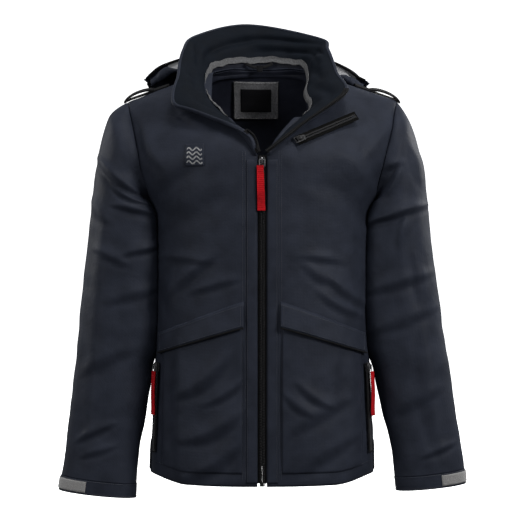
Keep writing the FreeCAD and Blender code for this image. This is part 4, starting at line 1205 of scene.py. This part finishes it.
# ---------------------------------------------------------------- the room


# Disc lights: place and target in metres, size and power.
LIGHTS = {
    "key": ((1.9, -1.7, 0.9), (0, 0, -0.4), 0.8, 50),
    "fill": ((-2.0, -2.2, 0.3), (0, 0, -0.4), 1.2, 20),
    "top": ((0.3, -0.8, 1.9), (0, 0, -0.3), 0.7, 24),
    "rim": ((-1.7, 0.7, 0.2), (0, 0, -0.35), 0.9, 11),
    "back": ((1.7, 1.1, 0.4), (0, 0, -0.35), 0.9, 20),
    "behind": ((0.1, 2.4, 0.6), (0, 0, -0.35), 1.6, 26),
}
# The pale stage in mm: a disc of a floor below the hem and a dome round everything.
STAGE_SIDES = 48
FLOOR_HEIGHT = -800
FLOOR_RADII = (200, 3000, 11900)
DOME_RADIUS = 12000
DOME_ROWS = 24
# The photograph's camera: its place in metres and its focal length in mm on a 36 mm sensor.
CAMERA_PLACE = (-0.0036, -2.8, -0.328)
FOCAL_LENGTH = 108.9


def build_room():
    pale = new_material("studio_pale", (0.93, 0.93, 0.93), 0.9,
                        Emission_Color=(1, 1, 1, 1), Emission_Strength=1.1)
    around = np.radians(np.arange(STAGE_SIDES) * 360 / STAGE_SIDES)
    ring = np.stack([np.cos(around), np.sin(around), 0 * around], axis=1)
    floor = [ring * radius + (0, 0, FLOOR_HEIGHT) for radius in FLOOR_RADII]
    rise = np.radians(np.linspace(-80, 89, DOME_ROWS))
    dome = [ring * DOME_RADIUS * math.cos(a) + (0, 0, DOME_RADIUS * math.sin(a)) for a in rise]
    for name, rings in (("studio_floor", floor), ("studio_dome", dome)):
        faces = []
        for i in range(0, (len(rings) - 1) * STAGE_SIDES, STAGE_SIDES):
            for k in range(STAGE_SIDES):
                n = (k + 1) % STAGE_SIDES
                faces.append((i + k, i + n, i + STAGE_SIDES + n, i + STAGE_SIDES + k))
        faces.append(tuple(range(STAGE_SIDES)))
        if name == "studio_dome":
            faces.append(tuple(range((len(rings) - 1) * STAGE_SIDES, len(rings) * STAGE_SIDES)))
        stage = make_mesh(name, np.concatenate(rings), faces, None, pale)
        stage.visible_diffuse = False
        stage.visible_glossy = False
        stage.visible_shadow = False

    world = bpy.data.worlds.new("studio_world")
    bpy.context.scene.world = world
    world.use_nodes = True
    nodes, links = world.node_tree.nodes, world.node_tree.links
    nodes["Background"].inputs["Color"].default_value = (0.95, 0.97, 1.0, 1)
    coords = nodes.new("ShaderNodeTexCoord")
    split = nodes.new("ShaderNodeSeparateXYZ")
    links.new(coords.outputs["Generated"], split.inputs[0])
    span = nodes.new("ShaderNodeMapRange")
    for key, value in (("From Min", -1), ("From Max", 1), ("To Min", 0.08), ("To Max", 0.5)):
        span.inputs[key].default_value = value
    links.new(split.outputs["Z"], span.inputs["Value"])
    links.new(span.outputs["Result"], nodes["Background"].inputs["Strength"])

    for name, (place, target, size, power) in LIGHTS.items():
        light = bpy.data.lights.new(name, "AREA")
        light.shape, light.size, light.energy = "DISK", size, power
        obj = bpy.data.objects.new(name, light)
        bpy.context.scene.collection.objects.link(obj)
        obj.location = place
        obj.rotation_euler = (Vector(target) - Vector(place)).to_track_quat("-Z", "Y").to_euler()

    lens = bpy.data.cameras.new("camera")
    lens.sensor_width, lens.lens = 36, FOCAL_LENGTH
    camera = bpy.data.objects.new("camera", lens)
    bpy.context.scene.collection.objects.link(camera)
    camera.location = CAMERA_PLACE
    camera.rotation_euler = (math.pi / 2, 0, 0)
    bpy.context.scene.camera = camera
    bpy.context.scene.view_settings.view_transform = "Standard"


build_panels()
build_lining()
build_sleeves()
build_collar()
build_neck()
build_hanger_and_labels()
build_hood()
build_pockets()
build_plackets_and_vents()
build_loops()
build_emblem()
build_main_zip()
build_pulls()
build_room()
